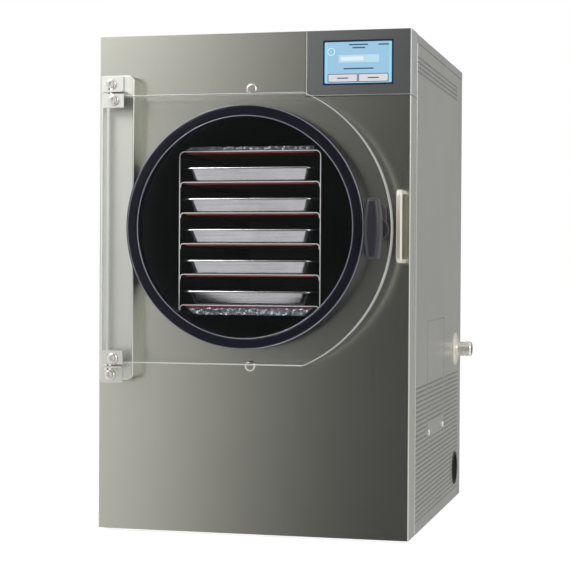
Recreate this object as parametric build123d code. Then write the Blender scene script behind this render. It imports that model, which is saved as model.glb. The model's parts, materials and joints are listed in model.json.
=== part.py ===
from build123d import *
from functools import partial
import math
import os

# Freeze dryer: a free-standing steel cabinet with a round vacuum chamber, a clear hinged door,
# a heated rack of five trays, and the refrigeration machinery in the space below the chamber.
# Millimetres. X to the right, Y to the back, Z up, z = 0 on the surface that the feet stand on.

# ---------------------------------------------------------------- driving sizes
CAB_W = 506.0            # cabinet, outside
CAB_D = 576.0
CAB_H = 794.0            # from the surface to the top cover
SHEET = 1.5              # steel sheet
SEAM = 0.8               # gap between neighbouring panels
FOOT_H = 5.0
FOOT_R = 16.0
FOOT_INSET = 62.0
WRAP = 56.0              # depth of the front panel's side returns
REAR_WRAP = 28.0         # depth of the rear panel's side returns
TOP_LIP = 14.0           # height of the top cover's down-turned lip
PAN_LIP = 40.0           # height of the base pan's up-turned lip
FOLD_R = 2.0             # radius of a panel's folded outer edge
PAST = 1.0               # how far a cutting shape runs past the face it cuts

CHAMBER_X = -4.0         # chamber axis, which runs along Y
CHAMBER_DROP = 306.0     # chamber axis below the top cover
DRUM_R = 180.0           # outside radius of the vacuum drum
DRUM_WALL = 4.0
DRUM_LEN = 470.0
DRUM_END = 6.0
RIM_OUT = 24.0           # reach of the drum's rim in front of the front panel
RIM_FLANGE_REACH = 46.0  # flange behind the front panel, beyond the drum
RIM_FLANGE_T = 5.0
PANEL_HOLE_CLEAR = 4.0   # front panel's round hole, around the drum
FLANGE_BOLT_REACH = 37.5 # bolts above and below the drum, beyond it
FLANGE_BOLT_DX = 4.0     # bolts to the right of the chamber's axis

GASKET_OVER = 11.0       # gasket outside the drum's rim
GASKET_UNDER = 4.0       # gasket inside the drum's bore
GASKET_OUT = 34.0        # face of the gasket, in front of the front panel
GASKET_EDGE = 5.0
GASKET_LIP = 14.0        # length of the gasket inside the drum
GASKET_FEATHER = 1.5     # how much thinner the lip is at its inner end

COIL_TUBE_R = 4.6
COIL_TURNS = 9
COIL_INSET = 25.0        # first and last turn, from the front panel and the drum's end
COIL_CLEAR = 0.3
SUCTION_TURN = 5         # turn that the suction line meets
FOAM_T = 15.0
FOAM_SETBACK = 12.0
FOAM_END = 22.0
DECK_CLEAR = 0.5         # deck under the drum's flange
DECK_T = 2.0
DECK_LIP = 25.0
CRADLE_T = 20.0
CRADLE_SETBACK = 85.0
CRADLE_HALF = 145.0
CRADLE_DROP = 135.0      # cradle's top corners below the chamber's axis

RACK_RISE_CLEAR = 54.5   # top shelf below the top of the drum's bore
RACK_CLEAR = 8.362       # rack's top corners to the drum's bore
RACK_LOW = 0.5           # bottom shelf lies this much further from the axis than the top one
RACK_BAYS = 5
RACK_SETBACK = 2.0       # rack's front edge, behind the front panel's face
RACK_SHEET = 1.5
RACK_EDGE_R = 9.0
SHELF_EDGE_R = 6.0
SHELF_LIP = 9.0
MAT_T = 2.5
MAT_INSET = 11.5         # heater mat's edge, inside the rack's side
MAT_SETBACK = 12.0       # mats and blankets end short of the rack's back edge
GLIDE_W = 12.0
TRAY_SIDE_GAP = 6.0      # tray to the shelf's folded edge
TRAY_END_GAP = 22.0      # tray to the rack's back edge
TRAY_OUT = 12.0          # tray's front edge, in front of the rack's
TRAY_LEN = 415.0
TRAY_H = 22.0
TRAY_WALL = 1.0
TRAY_RIM = 5.0
TRAY_RIM_T = 2.2
TRAY_TAPER = 18.0
TRAY_CORNER_R = 22.0
TRAY_LIFT = 0.2          # clearance under a tray
FOIL_TOP_T = 7.0
FOIL_BOTTOM_T = 12.5
FOIL_INSET = 10.5
FOIL_SLOPE = 9.0         # how far the lower blanket draws in on each side

DOOR_T = 19.0
DOOR_INSET = 24.0        # door's hinge edge, from the cabinet's side
DOOR_DROP = 3.8          # door's middle below the chamber's axis
DOOR_OVER = 18.7         # door's straight edges beyond the gasket
DOOR_ARC_DX = 8.5        # centre of the door's round side, from the chamber's axis
DOOR_ARC_OVER = 37.5     # door's round side beyond the gasket
DOOR_GAP = 0.4           # door to gasket
POST_DEPTH = 30.0
POST_INSET = 13.0        # post, from the cabinet's side
POST_W = 55.0
POST_RISE = 3.1          # post's middle above the door's middle
POST_OVER = 31.3         # post's ends beyond the door's
POST_SCREW_RISE = 15.0   # screw above the bracket's tab
POST_EDGE_R = 10.0
POST_CLEAR = 1.5         # post's scallop round the gasket
PIN_INSET = 9.0          # hinge pin from the door's hinge edge
PIN_OUT = 11.6           # hinge pin's axis, in front of the door's back face
PIN_R = 3.0
PIN_DEPTH = 14.0
PIN_HEAD_R = 6.0
PIN_HEAD_H = 4.0
RUN_CLEAR = 0.05         # radial clearance of a pin or shaft that turns
TAB_CLEAR = 0.3          # clearance beside a hinge tab
HINGE_T = 2.5
HINGE_W = 36.0
HINGE_COLLAR = 3.0
HINGE_COLLAR_R = 6.5
HINGE_LEAF_H = 19.0
HINGE_REACH = 9.0        # tab in front of the pin's axis
TAB_LEFT = 9.5           # post bracket's tab, to the left of the pin's axis
TAB_RIGHT = 24.0
POST_LEAF_H = 27.0
SCREW_HEAD_R = 8.5
SCREW_HEAD_H = 4.0
SCREW_SOCKET_R = 3.0
SCREW_SOCKET_D = 2.2
WASHER_R = 10.5
WASHER_T = 1.2
SCREW_R = 3.0
DOOR_SCREW_L = 12.0      # thread in the door
DOOR_SCREW_DX = 10.5     # door screw, from the pin
DOOR_SCREW_DZ = 7.0      # door screw, from the door's edge
POST_SCREW_DX = -2.0

HANDLE_INSET = 21.5      # handle's axis, from the door's free edge
SHAFT_R = 5.0
HUB_R = 18.0
HUB_T = 5.0
BUSH_R = 9.0
KNOB_W = 26.0
KNOB_END_W = 17.0
KNOB_H = 92.0
KNOB_T = 27.0
KNOB_CORNER_R = 5.0
KNOB_FACE_R = 7.0
KNOB_BACK_R = 4.0
KNOB_NECK_R = 11.0
KNOB_GAP = 22.0          # door face to knob: room for the fingers
CAM_W = 18.0
CAM_T = 8.0
CAM_REACH = 38.0
CAM_CLEAR = 0.5          # tongue behind the door
CATCH_W = 9.0
CATCH_T = 6.0
CATCH_GAP = 4.5          # door's free edge to the catch bar
CATCH_CLEAR = 1.6        # latch tongue behind the catch bar
CATCH_HALF_H = 56.0
CATCH_RISE = 4.8         # catch's middle above the door's middle
CATCH_BEND_R = 10.0
CATCH_EDGE_R = 3.0

BEZEL_W = 167.0          # control panel in the top right corner
BEZEL_H = 102.5
BEZEL_SLOT_BACK = 0.62   # thin slot in the panel's side return, as a share of its depth
BEZEL_SLOT_W = 2.0
BEZEL_SLOT_H = 20.0
BEZEL_SLOT_DROP = 46.0
SCREEN_W = 111.0
SCREEN_H = 69.5
SCREEN_INSET = 28.0      # screen's right edge from the cabinet's side
SCREEN_DROP = 15.5       # screen's top edge below the top cover
SCREEN_CLEAR = 0.5
SCREEN_SINK = 0.3        # glass behind the panel's face
GLASS_T = 2.0
MODULE_T = 14.0
MODULE_RIM = 6.0

VENT_R = 2.0             # vent holes of the right side panel
VENT_PITCH = 8.7
VENT_EDGE = 2.0          # least web between a hole and an edge
VENT_FRONT = 62.0        # first column, from the front panel
VENT_REAR = 42.0         # last column, from the rear panel
VENT_Z0 = 24.0
VENT_Z1 = 240.0
TOP_VENT_DROP = 59.0
TOP_VENT_REAR = 62.0
TOP_VENT_ROWS = 4
COVER_SETBACK = 182.0    # access cover in the right side panel
COVER_W = 180.0
COVER_Z0 = 146.0
COVER_Z1 = 339.0
COVER_GAP = 1.6
COVER_LIP = 8.0
COVER_LAND = 4.0         # lip inside the cover's edge
COVER_STRIP = 18.0       # plain strip along the cover's lower edge
COVER_SCREW_INSET = 13.0
COVER_SCREW_RISE = 9.0
COVER_SCREW_R = 2.1
COVER_HEAD_R = 5.0
COVER_HEAD_H = 2.4
PORT_INSET = 72.0        # hose fitting, from the rear panel
PORT_RISE = 17.5         # hose fitting's axis above the mid deck
PORT_R = 13.0
PORT_NOSE_OUT_R = 13.5  # the hose grips the nose
PORT_BORE_R = 9.0
PORT_OUT = 31.0
PORT_IN = 17.0
PORT_NOSE = 12.0
PORT_NOSE_R = 4.0
PORT_GROOVE = 1.4
PORT_FLANGE_R = 30.0
PORT_FLANGE_T = 8.0      # at the middle of the dome
PORT_FLANGE_RIM_T = 1.5
PORT_CLEAR = 1.0
TUBE_WALL = 2.0
TUBE_BEND = 26.0
CABLE_INSET = 72.0       # round hole for the drain hose, from the rear panel
CABLE_Z = 60.5
CABLE_R = 25.0
GROMMET_WALL = 2.5
GROMMET_LIP = 2.0
GROMMET_FIT = 0.2

DRAIN_R = 7.0            # melt-water drain under the drum
DRAIN_WALL = 2.0
DRAIN_BEND = 24.0
DRAIN_SETBACK = 50.0     # from the drum's back end
DRAIN_TURN_Z = 110.0
DRAIN_TURN_DX = 60.0
DRAIN_END_INSET = 12.0
VAC_DX = 94.0            # vacuum tube's outlet in the drum's end
VAC_DROP = 60.0
REAR_SLOT_X = -110.0     # vent slots in the rear panel
REAR_SLOT_Z = 150.0
REAR_SLOT_TOP_DROP = 89.0
REAR_SLOT_PITCH = 14.0
REAR_SLOT_W = 6.0
REAR_SLOT_H = 150.0
REAR_SLOT_TOP_H = 40.0
REAR_SLOTS = 11
INLET_X = 150.0          # power inlet and switch in the rear panel
INLET_DROP = 194.0
INLET_W = 28.0
INLET_H = 48.0
INLET_DEPTH = 29.0
INLET_RIM = 4.0
SOCKET_WALL = 3.5
INSERT_FIT = 0.3         # inlet and switch in their cut-outs
INSERT_RIM_T = 2.0
SWITCH_RISE = 65.0       # switch above the inlet
SWITCH_W = 24.0
SWITCH_H = 32.0
SWITCH_DEPTH = 19.0
SWITCH_RIM = 2.5
SWITCH_WALL = 3.0
ROCKER_PIN_R = 1.5
ROCKER_PIN_L = 2.0
ROCKER_PIN_IN = 4.0      # rocker's axis behind the rear panel's face
ROCKER_CLEAR = 0.6

COMP_X = -115.0          # sealed compressor
COMP_BEHIND_SUCTION = 55.5
COMP_R = 88.0
COMP_H = 185.0
COMP_LIFT = 18.0         # foot plate above the base pan
COMP_PLATE_T = 3.0
COMP_PLATE_X = 100.0
COMP_PLATE_Y = 75.0
COMP_STUB = 18.0
COMP_MOUNT_DX = 86.0
COMP_MOUNT_DY = 61.0
COMP_MOUNT_R = 11.0
LINE_R = 5.0             # refrigerant lines
LINE_RISE = 120.0        # suction stub above the compressor's foot plate
LINE_DROP = 50.0
DISCHARGE_DY = 30.0
LINE_BEND = 20.0
LINE_REACH = 34.0        # suction line's rise, beyond the stub
DISCHARGE_REACH = 70.0
COND_INSET = 13.5        # condenser, behind the side vents
COND_DEPTH = 42.0
COND_LEN = 230.0
COND_Z0 = 22.0
COND_Z1 = 222.0
COND_ROWS = 7
COND_ROW_INSET = 15.0
COND_PLATE = 2.0
COND_FINS = 24
COND_FIN_T = 0.8
COND_BEND_OUT = 6.0      # tube ends beyond the end plates
FAN_R = 86.0
FAN_TIP_CLEAR = 6.0
FAN_BLADES = 5
FAN_PITCH = 28.0
FAN_CHORD = 42.0
FAN_BLADE_T = 2.0
FAN_HUB_R = 20.0
FAN_ROOT_R = 18.0
FAN_TIP_INSET = 4.0
FAN_SETBACK = 15.0       # blades' middle, in front of the condenser
SHROUD_T = 34.0
SHROUD_WALL = 2.0
BRACE_T = 6.0
BRACE_DZ = 30.0
FAN_MOTOR_R = 36.0
FAN_MOTOR_L = 62.0
FAN_SHAFT_R = 4.0
FAN_SHAFT_IN = 55.0
BOARD_DROP = 234.0       # power board, from the top cover to its lower edge
BOARD_X0 = -150.0
BOARD_X1 = 60.0
BOARD_H = 120.0
BOARD_T = 2.0
BOARD_OFF = 18.0
STANDOFF_R = 4.0
STANDOFF_INSET = 8.0

# ---------------------------------------------------------------- derived places
SIDE = CAB_W / 2
FRONT = -CAB_D / 2
BACK = CAB_D / 2
INNER = SIDE - SHEET
BOTTOM = FOOT_H
PAN_TOP = BOTTOM + SHEET
CHAMBER_Z = CAB_H - CHAMBER_DROP
DRUM_IN_R = DRUM_R - DRUM_WALL
DRUM_BACK_Y = FRONT - RIM_OUT + DRUM_LEN
RIM_FLANGE_R = DRUM_R + RIM_FLANGE_REACH
FLANGE_BOLT_R = DRUM_R + FLANGE_BOLT_REACH
GASKET_R = DRUM_R + GASKET_OVER
GASKET_IN_R = DRUM_IN_R - GASKET_UNDER
COIL_Y0 = FRONT + COIL_INSET
COIL_STEP = (DRUM_BACK_Y - COIL_INSET - COIL_Y0) / (COIL_TURNS - 1)
FOAM_IN_R = DRUM_R + 2 * COIL_TUBE_R + 1.0
FOAM_R = FOAM_IN_R + FOAM_T
DECK_Z = CHAMBER_Z - RIM_FLANGE_R - DECK_CLEAR
RACK_RISE = DRUM_IN_R - RACK_RISE_CLEAR
RACK_W = 2 * math.sqrt((DRUM_IN_R - RACK_CLEAR) ** 2 - RACK_RISE ** 2)
RACK_TOP = CHAMBER_Z + RACK_RISE
RACK_PITCH = (2 * RACK_RISE + RACK_LOW) / RACK_BAYS
RACK_BOTTOM = RACK_TOP - RACK_BAYS * RACK_PITCH - SHELF_LIP
RACK_LEN = TRAY_LEN - TRAY_OUT + TRAY_END_GAP
RACK_Y0 = FRONT + RACK_SETBACK
RACK_Y1 = RACK_Y0 + RACK_LEN
RACK_X0 = CHAMBER_X - RACK_W / 2
RACK_X1 = CHAMBER_X + RACK_W / 2
TRAY_W = RACK_W - 2 * (2 * RACK_SHEET + TRAY_SIDE_GAP)
MAT_W = RACK_W - 2 * MAT_INSET
FOIL_W = RACK_W - 2 * FOIL_INSET
DOOR_BACK_Y = FRONT - GASKET_OUT - DOOR_GAP
DOOR_FACE_Y = DOOR_BACK_Y - DOOR_T
DOOR_LEFT = -SIDE + DOOR_INSET
DOOR_MID_Z = CHAMBER_Z - DOOR_DROP
DOOR_HALF_H = GASKET_R + DOOR_OVER
DOOR_TOP = DOOR_MID_Z + DOOR_HALF_H
DOOR_ARC_X = CHAMBER_X + DOOR_ARC_DX
DOOR_ARC_R = GASKET_R + DOOR_ARC_OVER
DOOR_RIGHT = DOOR_ARC_X + DOOR_ARC_R
PIN_X = DOOR_LEFT + PIN_INSET
PIN_Y = DOOR_BACK_Y - PIN_OUT
POST_LEFT = -SIDE + POST_INSET
POST_RIGHT = POST_LEFT + POST_W
POST_MID_Z = DOOR_MID_Z + POST_RISE
POST_HALF_H = DOOR_HALF_H + POST_OVER
HANDLE_X = DOOR_RIGHT - HANDLE_INSET
KNOB_BACK_Y = DOOR_FACE_Y - KNOB_GAP
CATCH_LEFT = DOOR_RIGHT + CATCH_GAP
CATCH_MID_Z = DOOR_MID_Z + CATCH_RISE
CATCH_OUT = GASKET_OUT + DOOR_GAP - CAM_CLEAR + CATCH_CLEAR + CATCH_T
BEZEL_LEFT = SIDE - BEZEL_W
BEZEL_BOTTOM = CAB_H - BEZEL_H
SCREEN_X1 = SIDE - SCREEN_INSET
SCREEN_X0 = SCREEN_X1 - SCREEN_W
SCREEN_Z1 = CAB_H - SCREEN_DROP
SCREEN_Z0 = SCREEN_Z1 - SCREEN_H
VENT_Y0 = FRONT + VENT_FRONT
VENT_Y1 = BACK - VENT_REAR
VENT_ROW = VENT_PITCH * math.sqrt(3) / 2
COVER_Y0 = FRONT + COVER_SETBACK
COVER_Y1 = COVER_Y0 + COVER_W
PORT_Y = BACK - PORT_INSET
PORT_Z = DECK_Z + PORT_RISE
CABLE_Y = BACK - CABLE_INSET
DRAIN_X = CHAMBER_X
DRAIN_Y = DRUM_BACK_Y - DRAIN_SETBACK
TUBE_R = PORT_R - PORT_CLEAR
VAC_X = CHAMBER_X + VAC_DX
VAC_Z = CHAMBER_Z - VAC_DROP
INLET_Z = CAB_H - INLET_DROP
SWITCH_Z = INLET_Z + SWITCH_RISE
ROCKER_Y = BACK - ROCKER_PIN_IN
SUCTION_Y = COIL_Y0 + SUCTION_TURN * COIL_STEP
COMP_Y = SUCTION_Y + COMP_BEHIND_SUCTION
COMP_Z = PAN_TOP + COMP_LIFT
COMP_TIP_X = COMP_X + COMP_R + COMP_STUB
LINE_Z = COMP_Z + LINE_RISE
SUCTION_X = COMP_TIP_X + LINE_REACH
COND_X1 = INNER - COND_INSET
COND_X0 = COND_X1 - COND_DEPTH
COND_Y1 = COMP_Y
COND_Y0 = COND_Y1 - COND_LEN
COND_X = (COND_X0 + COND_X1) / 2
COND_ROW = (COND_Z1 - COND_Z0 - 2 * COND_ROW_INSET) / (COND_ROWS - 1)
FAN_Y = (COND_Y0 + COND_Y1) / 2
FAN_Z = (COND_Z0 + COND_Z1) / 2
MOTOR_X = COND_X0 - SHROUD_T - BRACE_T


# ---------------------------------------------------------------- helpers
def block(x0, x1, y0, y1, z0, z1):
    return Pos((x0 + x1) / 2, (y0 + y1) / 2, (z0 + z1) / 2) * Box(x1 - x0, y1 - y0, z1 - z0)


def rod(radius, start, end):
    """Round bar from one point to another along X, Y or Z."""
    a = Vector(*start)
    b = Vector(*end)
    plane = Plane(origin=a, z_dir=b - a)
    return extrude(plane * Circle(radius), (b - a).length)


def ring(outer, inner, start, end):
    return rod(outer, start, end) - rod(inner, start, end)


def front_plane(y):
    """Plane seen from the front: its x is the cabinet's X and its y the cabinet's Z."""
    return Plane(origin=(0, y, 0), x_dir=(1, 0, 0), z_dir=(0, -1, 0))


def prism_y(sketch, y0, y1):
    """Extrude a front view sketch from y1 forward to y0."""
    return extrude(front_plane(y1) * sketch, y1 - y0)


def turned_y(points, x, z):
    """Body of revolution about a Y line, from (radius, y) points."""
    plane = Plane(origin=(x, 0, z), x_dir=(1, 0, 0), z_dir=(0, 0, 1))
    return revolve(plane * make_face(Polyline(*points, close=True)), Axis((x, 0, z), (0, 1, 0)))


def pipe(points, radii, radius, bore=0.0):
    """Tube along straight runs joined by tangent arcs."""
    path = FilletPolyline(*points, radius=radii) if radii else Polyline(*points)
    section = Plane(origin=path @ 0, z_dir=path % 0) * Circle(radius)
    if bore:
        section = section - Plane(origin=path @ 0, z_dir=path % 0) * Circle(bore)
    return sweep(section, path=path)


def round_screw(x, y, z, direction, length):
    """Round-head screw with a hexagon socket; direction points out of the head."""
    plane = Plane(origin=(x, y, z), z_dir=direction)
    head = extrude(plane * Circle(SCREW_HEAD_R), SCREW_HEAD_H)
    head = fillet(head.faces().sort_by(Axis((x, y, z), direction))[-1].edges(), SCREW_HEAD_H * 0.7)
    bottom = plane.offset(SCREW_HEAD_H - SCREW_SOCKET_D)
    socket = extrude(bottom * RegularPolygon(SCREW_SOCKET_R, 6), SCREW_HEAD_H)
    shank = extrude(plane * Circle(SCREW_R), -length)
    return head - socket + shank


def save(name, shape):
    solids = [s for s in shape.solids()]
    export_step(solids[0] if len(solids) == 1 else Compound(children=solids), f"parts/{name}.step")


def group(*shapes):
    return Compound(children=[s for shape in shapes for s in shape.solids()])


# ---------------------------------------------------------------- cabinet
def base_pan():
    outer = block(-INNER, INNER, FRONT + SHEET, BACK - SHEET, BOTTOM, BOTTOM + PAN_LIP)
    inner = block(-INNER + SHEET, INNER - SHEET, FRONT + 2 * SHEET, BACK - 2 * SHEET,
                  BOTTOM + SHEET, BOTTOM + PAN_LIP + PAST)
    notch = CABLE_R + 2 * GROMMET_LIP + GROMMET_WALL
    return outer - inner - rod(notch, (INNER - 2 * SHEET, CABLE_Y, CABLE_Z), (SIDE, CABLE_Y, CABLE_Z))


def foot_places():
    for sx in (-1, 1):
        for sy in (-1, 1):
            yield sx * (SIDE - FOOT_INSET), sy * (BACK - FOOT_INSET)


def rubber_feet():
    return group(*[rod(FOOT_R, (x, y, 0), (x, y, FOOT_H)) for x, y in foot_places()])


def bezel_zone(grow=0.0):
    """The top right corner of the front, which the control panel takes."""
    return block(BEZEL_LEFT - grow, SIDE + PAST, FRONT - PAST, FRONT + WRAP + PAST,
                 BEZEL_BOTTOM - grow, CAB_H + PAST)


def front_shell():
    """Front sheet with its folded sides and top edge, before the control panel is parted from it."""
    outer = block(-SIDE, SIDE, FRONT, FRONT + WRAP, BOTTOM, CAB_H)
    outer = fillet(outer.edges().filter_by(Axis.Z).group_by(Axis.Y)[0], FOLD_R)
    inner = block(-INNER, INNER, FRONT + SHEET, FRONT + WRAP + PAST, BOTTOM - PAST, CAB_H - SHEET)
    return outer - inner


def through_front(radius, x, z):
    """Round cutter through the front panel's sheet."""
    return rod(radius, (x, FRONT - PAST, z), (x, FRONT + SHEET + PAST, z))


def flange_bolt_places():
    for s in (1, -1):
        yield CHAMBER_X + FLANGE_BOLT_DX, CHAMBER_Z + s * FLANGE_BOLT_R


def front_panel():
    panel = front_shell() - bezel_zone()
    panel -= through_front(DRUM_R + PANEL_HOLE_CLEAR, CHAMBER_X, CHAMBER_Z)
    for x, z in flange_bolt_places():
        panel -= through_front(SCREW_R + TAB_CLEAR, x, z)
    return panel


def control_bezel():
    bezel = front_shell() & bezel_zone(-SEAM)
    bezel -= block(SCREEN_X0, SCREEN_X1, FRONT - PAST, FRONT + SHEET + PAST, SCREEN_Z0, SCREEN_Z1)
    slot_y = FRONT + WRAP * BEZEL_SLOT_BACK
    slot_z = CAB_H - BEZEL_SLOT_DROP
    bezel -= block(INNER - PAST, SIDE + PAST, slot_y - BEZEL_SLOT_W / 2, slot_y + BEZEL_SLOT_W / 2,
                   slot_z - BEZEL_SLOT_H, slot_z)
    return bezel


def screen_block(grow, y0, y1):
    return block(SCREEN_X0 - grow, SCREEN_X1 + grow, y0, y1, SCREEN_Z0 - grow, SCREEN_Z1 + grow)


def screen_glass():
    return screen_block(-SCREEN_CLEAR, FRONT + SCREEN_SINK, FRONT + SCREEN_SINK + GLASS_T)


def screen_module():
    y0 = FRONT + SCREEN_SINK + GLASS_T
    return screen_block(MODULE_RIM, FRONT + SHEET, y0 + MODULE_T) - screen_block(-SCREEN_CLEAR, FRONT, y0)


def vent_rows(y0, y1, z0, rows):
    """Staggered rows of vent hole centres."""
    for r in range(rows):
        shift = VENT_PITCH / 2 if r % 2 else 0.0
        for i in range(int((y1 - y0 - shift) / VENT_PITCH) + 1):
            yield y0 + shift + i * VENT_PITCH, z0 + r * VENT_ROW


def vent_centres():
    """All vent holes of the right side: the lower field and the rows under the top."""
    rows = int((VENT_Z1 - VENT_Z0) / VENT_ROW) + 1
    yield from vent_rows(VENT_Y0, VENT_Y1, VENT_Z0, rows)
    yield from vent_rows(VENT_Y0, BACK - TOP_VENT_REAR, CAB_H - TOP_VENT_DROP, TOP_VENT_ROWS)


def in_cover(y, z, grow):
    return COVER_Y0 - grow < y < COVER_Y1 + grow and COVER_Z0 - grow < z < COVER_Z1 + grow


def side_face(y0, y1, z0, z1):
    """Plane and rectangle of a flat piece in the right side; its sketch x is Y and its y is Z."""
    plane = Plane(origin=(INNER, 0, 0), x_dir=(0, 1, 0), z_dir=(1, 0, 0))
    return plane, Wire.make_polygon([plane.from_local_coords(Vector(y, z)) for y, z in
                                     ((y0, z0), (y1, z0), (y1, z1), (y0, z1))])


def round_wire(plane, y, z, radius):
    centre = plane.from_local_coords(Vector(y, z))
    return Wire([Edge.make_circle(radius, Plane(origin=centre, z_dir=plane.z_dir))])


def right_side_panel():
    y0 = FRONT + WRAP + SEAM
    y1 = BACK - REAR_WRAP - SEAM
    plane, outline = side_face(y0, y1, BOTTOM, CAB_H - TOP_LIP - SEAM)
    holes = []
    keep = VENT_R + VENT_EDGE
    for y, z in vent_centres():
        if in_cover(y, z, keep + COVER_GAP) or z > CAB_H - TOP_LIP - keep or y > y1 - keep:
            continue
        if math.hypot(y - CABLE_Y, z - CABLE_Z) < CABLE_R + GROMMET_LIP + keep:
            continue
        holes.append(round_wire(plane, y, z, VENT_R))
    g = COVER_GAP
    holes.append(side_face(COVER_Y0 - g, COVER_Y1 + g, COVER_Z0 - g, COVER_Z1 + g)[1])
    holes.append(round_wire(plane, PORT_Y, PORT_Z, PORT_R + PORT_CLEAR))
    holes.append(round_wire(plane, CABLE_Y, CABLE_Z, CABLE_R + GROMMET_WALL))
    return extrude(Face(outline, holes), SHEET, dir=(1, 0, 0))


def access_cover():
    """Flush vented plate with a wider lip behind the side panel."""
    plane, outline = side_face(COVER_Y0, COVER_Y1, COVER_Z0, COVER_Z1)
    keep = VENT_R + VENT_EDGE
    centres = [(y, z) for y, z in vent_centres() if in_cover(y, z, -keep - COVER_GAP)
               and z > COVER_Z0 + COVER_STRIP + keep]
    holes = [round_wire(plane, y, z, VENT_R) for y, z in centres]
    holes += [round_wire(plane, y, z, COVER_SCREW_R) for y, z in cover_screw_places()]
    plate = extrude(Face(outline, holes), SHEET, dir=(1, 0, 0))
    lip = block(INNER - SHEET, INNER, COVER_Y0 - COVER_LIP, COVER_Y1 + COVER_LIP,
                COVER_Z0 - COVER_LIP, COVER_Z1 + COVER_LIP)
    lip -= block(INNER - SHEET - PAST, INNER + PAST, COVER_Y0 + COVER_LAND, COVER_Y1 - COVER_LAND,
                 COVER_Z0 + COVER_STRIP - COVER_LAND / 2, COVER_Z1 - COVER_LAND)
    for y, z in cover_screw_places():
        lip -= rod(COVER_SCREW_R, (INNER - 2 * SHEET, y, z), (SIDE, y, z))
    return plate + lip


def cover_screw_places():
    for y in (COVER_Y0 + COVER_SCREW_INSET, COVER_Y1 - COVER_SCREW_INSET):
        yield y, COVER_Z0 + COVER_SCREW_RISE


def cover_screws():
    screws = []
    for y, z in cover_screw_places():
        head = rod(COVER_HEAD_R, (SIDE, y, z), (SIDE + COVER_HEAD_H, y, z))
        head = fillet(head.faces().sort_by(Axis.X)[-1].edges(), COVER_HEAD_H * 2 / 3)
        screws.append(head + rod(COVER_SCREW_R - 0.1, (SIDE, y, z), (INNER - 4, y, z)))
    return group(*screws)


def left_side_panel():
    return block(-SIDE, -INNER, FRONT + WRAP + SEAM, BACK - REAR_WRAP - SEAM, BOTTOM, CAB_H - TOP_LIP - SEAM)


def top_cover():
    y0 = FRONT + WRAP + SEAM
    outer = block(-SIDE, SIDE, y0, BACK, CAB_H - TOP_LIP, CAB_H)
    outer = fillet(outer.edges().filter_by(Axis.Y).group_by(Axis.Z)[-1], FOLD_R)
    inner = block(-INNER, INNER, y0 - PAST, BACK - SHEET, CAB_H - TOP_LIP - PAST, CAB_H - SHEET)
    return outer - inner


def rear_cutter(x, z, width, height):
    return Pos(x, BACK, z) * Box(width, 4 * SHEET, height)


def rear_panel():
    z1 = CAB_H - TOP_LIP - SEAM
    outer = block(-SIDE, SIDE, BACK - REAR_WRAP, BACK, BOTTOM, z1)
    outer = fillet(outer.edges().filter_by(Axis.Z).group_by(Axis.Y)[-1], FOLD_R)
    inner = block(-INNER, INNER, BACK - REAR_WRAP - PAST, BACK - SHEET, BOTTOM - PAST, z1 + PAST)
    panel = outer - inner
    for i in range(REAR_SLOTS):
        x = REAR_SLOT_X + (i - (REAR_SLOTS - 1) / 2) * REAR_SLOT_PITCH
        panel -= rear_cutter(x, REAR_SLOT_Z, REAR_SLOT_W, REAR_SLOT_H)
        panel -= rear_cutter(x, CAB_H - REAR_SLOT_TOP_DROP, REAR_SLOT_W, REAR_SLOT_TOP_H)
    panel -= rear_cutter(INLET_X, INLET_Z, INLET_W, INLET_H)
    panel -= rear_cutter(INLET_X, SWITCH_Z, SWITCH_W, SWITCH_H)
    return panel


def cable_grommet():
    x = INNER
    y, z = CABLE_Y, CABLE_Z
    body = rod(CABLE_R + GROMMET_WALL - GROMMET_FIT, (x - 4, y, z), (SIDE + 1, y, z))
    body += rod(CABLE_R + GROMMET_WALL + GROMMET_LIP, (SIDE, y, z), (SIDE + 1.2, y, z))
    return body - rod(CABLE_R, (x - 10, y, z), (SIDE + 10, y, z))


def port_flange():
    """Domed disc round the hose fitting."""
    rise = PORT_FLANGE_T - PORT_FLANGE_RIM_T
    dome_r = (PORT_FLANGE_R ** 2 + rise ** 2) / (2 * rise)

    def dome_point(r):
        return SIDE + PORT_FLANGE_T - dome_r + math.sqrt(dome_r ** 2 - r ** 2), PORT_Y + r

    hole = PORT_R + 0.1
    inner, outer = dome_point(hole), dome_point(PORT_FLANGE_R)
    lines = Line(inner, (SIDE, inner[1])) + Line((SIDE, inner[1]), (SIDE, outer[1]))
    middle = dome_point((hole + PORT_FLANGE_R) / 2)
    lines += Line((SIDE, outer[1]), outer) + ThreePointArc(outer, middle, inner)
    return revolve(Pos(0, 0, PORT_Z) * make_face(lines), Axis((SIDE, PORT_Y, PORT_Z), (1, 0, 0)))


def vacuum_port():
    """Hose fitting: turned barrel with a collar and a rounded nose."""
    y, z = PORT_Y, PORT_Z
    tip = SIDE + PORT_OUT
    groove = tip - PORT_NOSE
    barrel = rod(PORT_R, (SIDE - PORT_IN, y, z), (groove - 2, y, z))
    nose = rod(PORT_NOSE_OUT_R, (groove, y, z), (tip, y, z))
    nose = fillet(nose.faces().sort_by(Axis.X)[-1].edges(), PORT_NOSE_R)
    neck = rod(PORT_R - PORT_GROOVE, (groove - 3, y, z), (groove + 1, y, z))
    return barrel + neck + nose - rod(PORT_BORE_R, (SIDE - 2 * PORT_IN, y, z), (tip + PAST, y, z))


def vacuum_tube():
    """Bent pipe from the drum's end to the hose fitting."""
    points = [(VAC_X, DRUM_BACK_Y, VAC_Z), (VAC_X, PORT_Y, VAC_Z), (VAC_X, PORT_Y, PORT_Z),
              (SIDE - PORT_IN, PORT_Y, PORT_Z)]
    return pipe(points, [TUBE_BEND, TUBE_BEND], TUBE_R, TUBE_R - TUBE_WALL)


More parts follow.
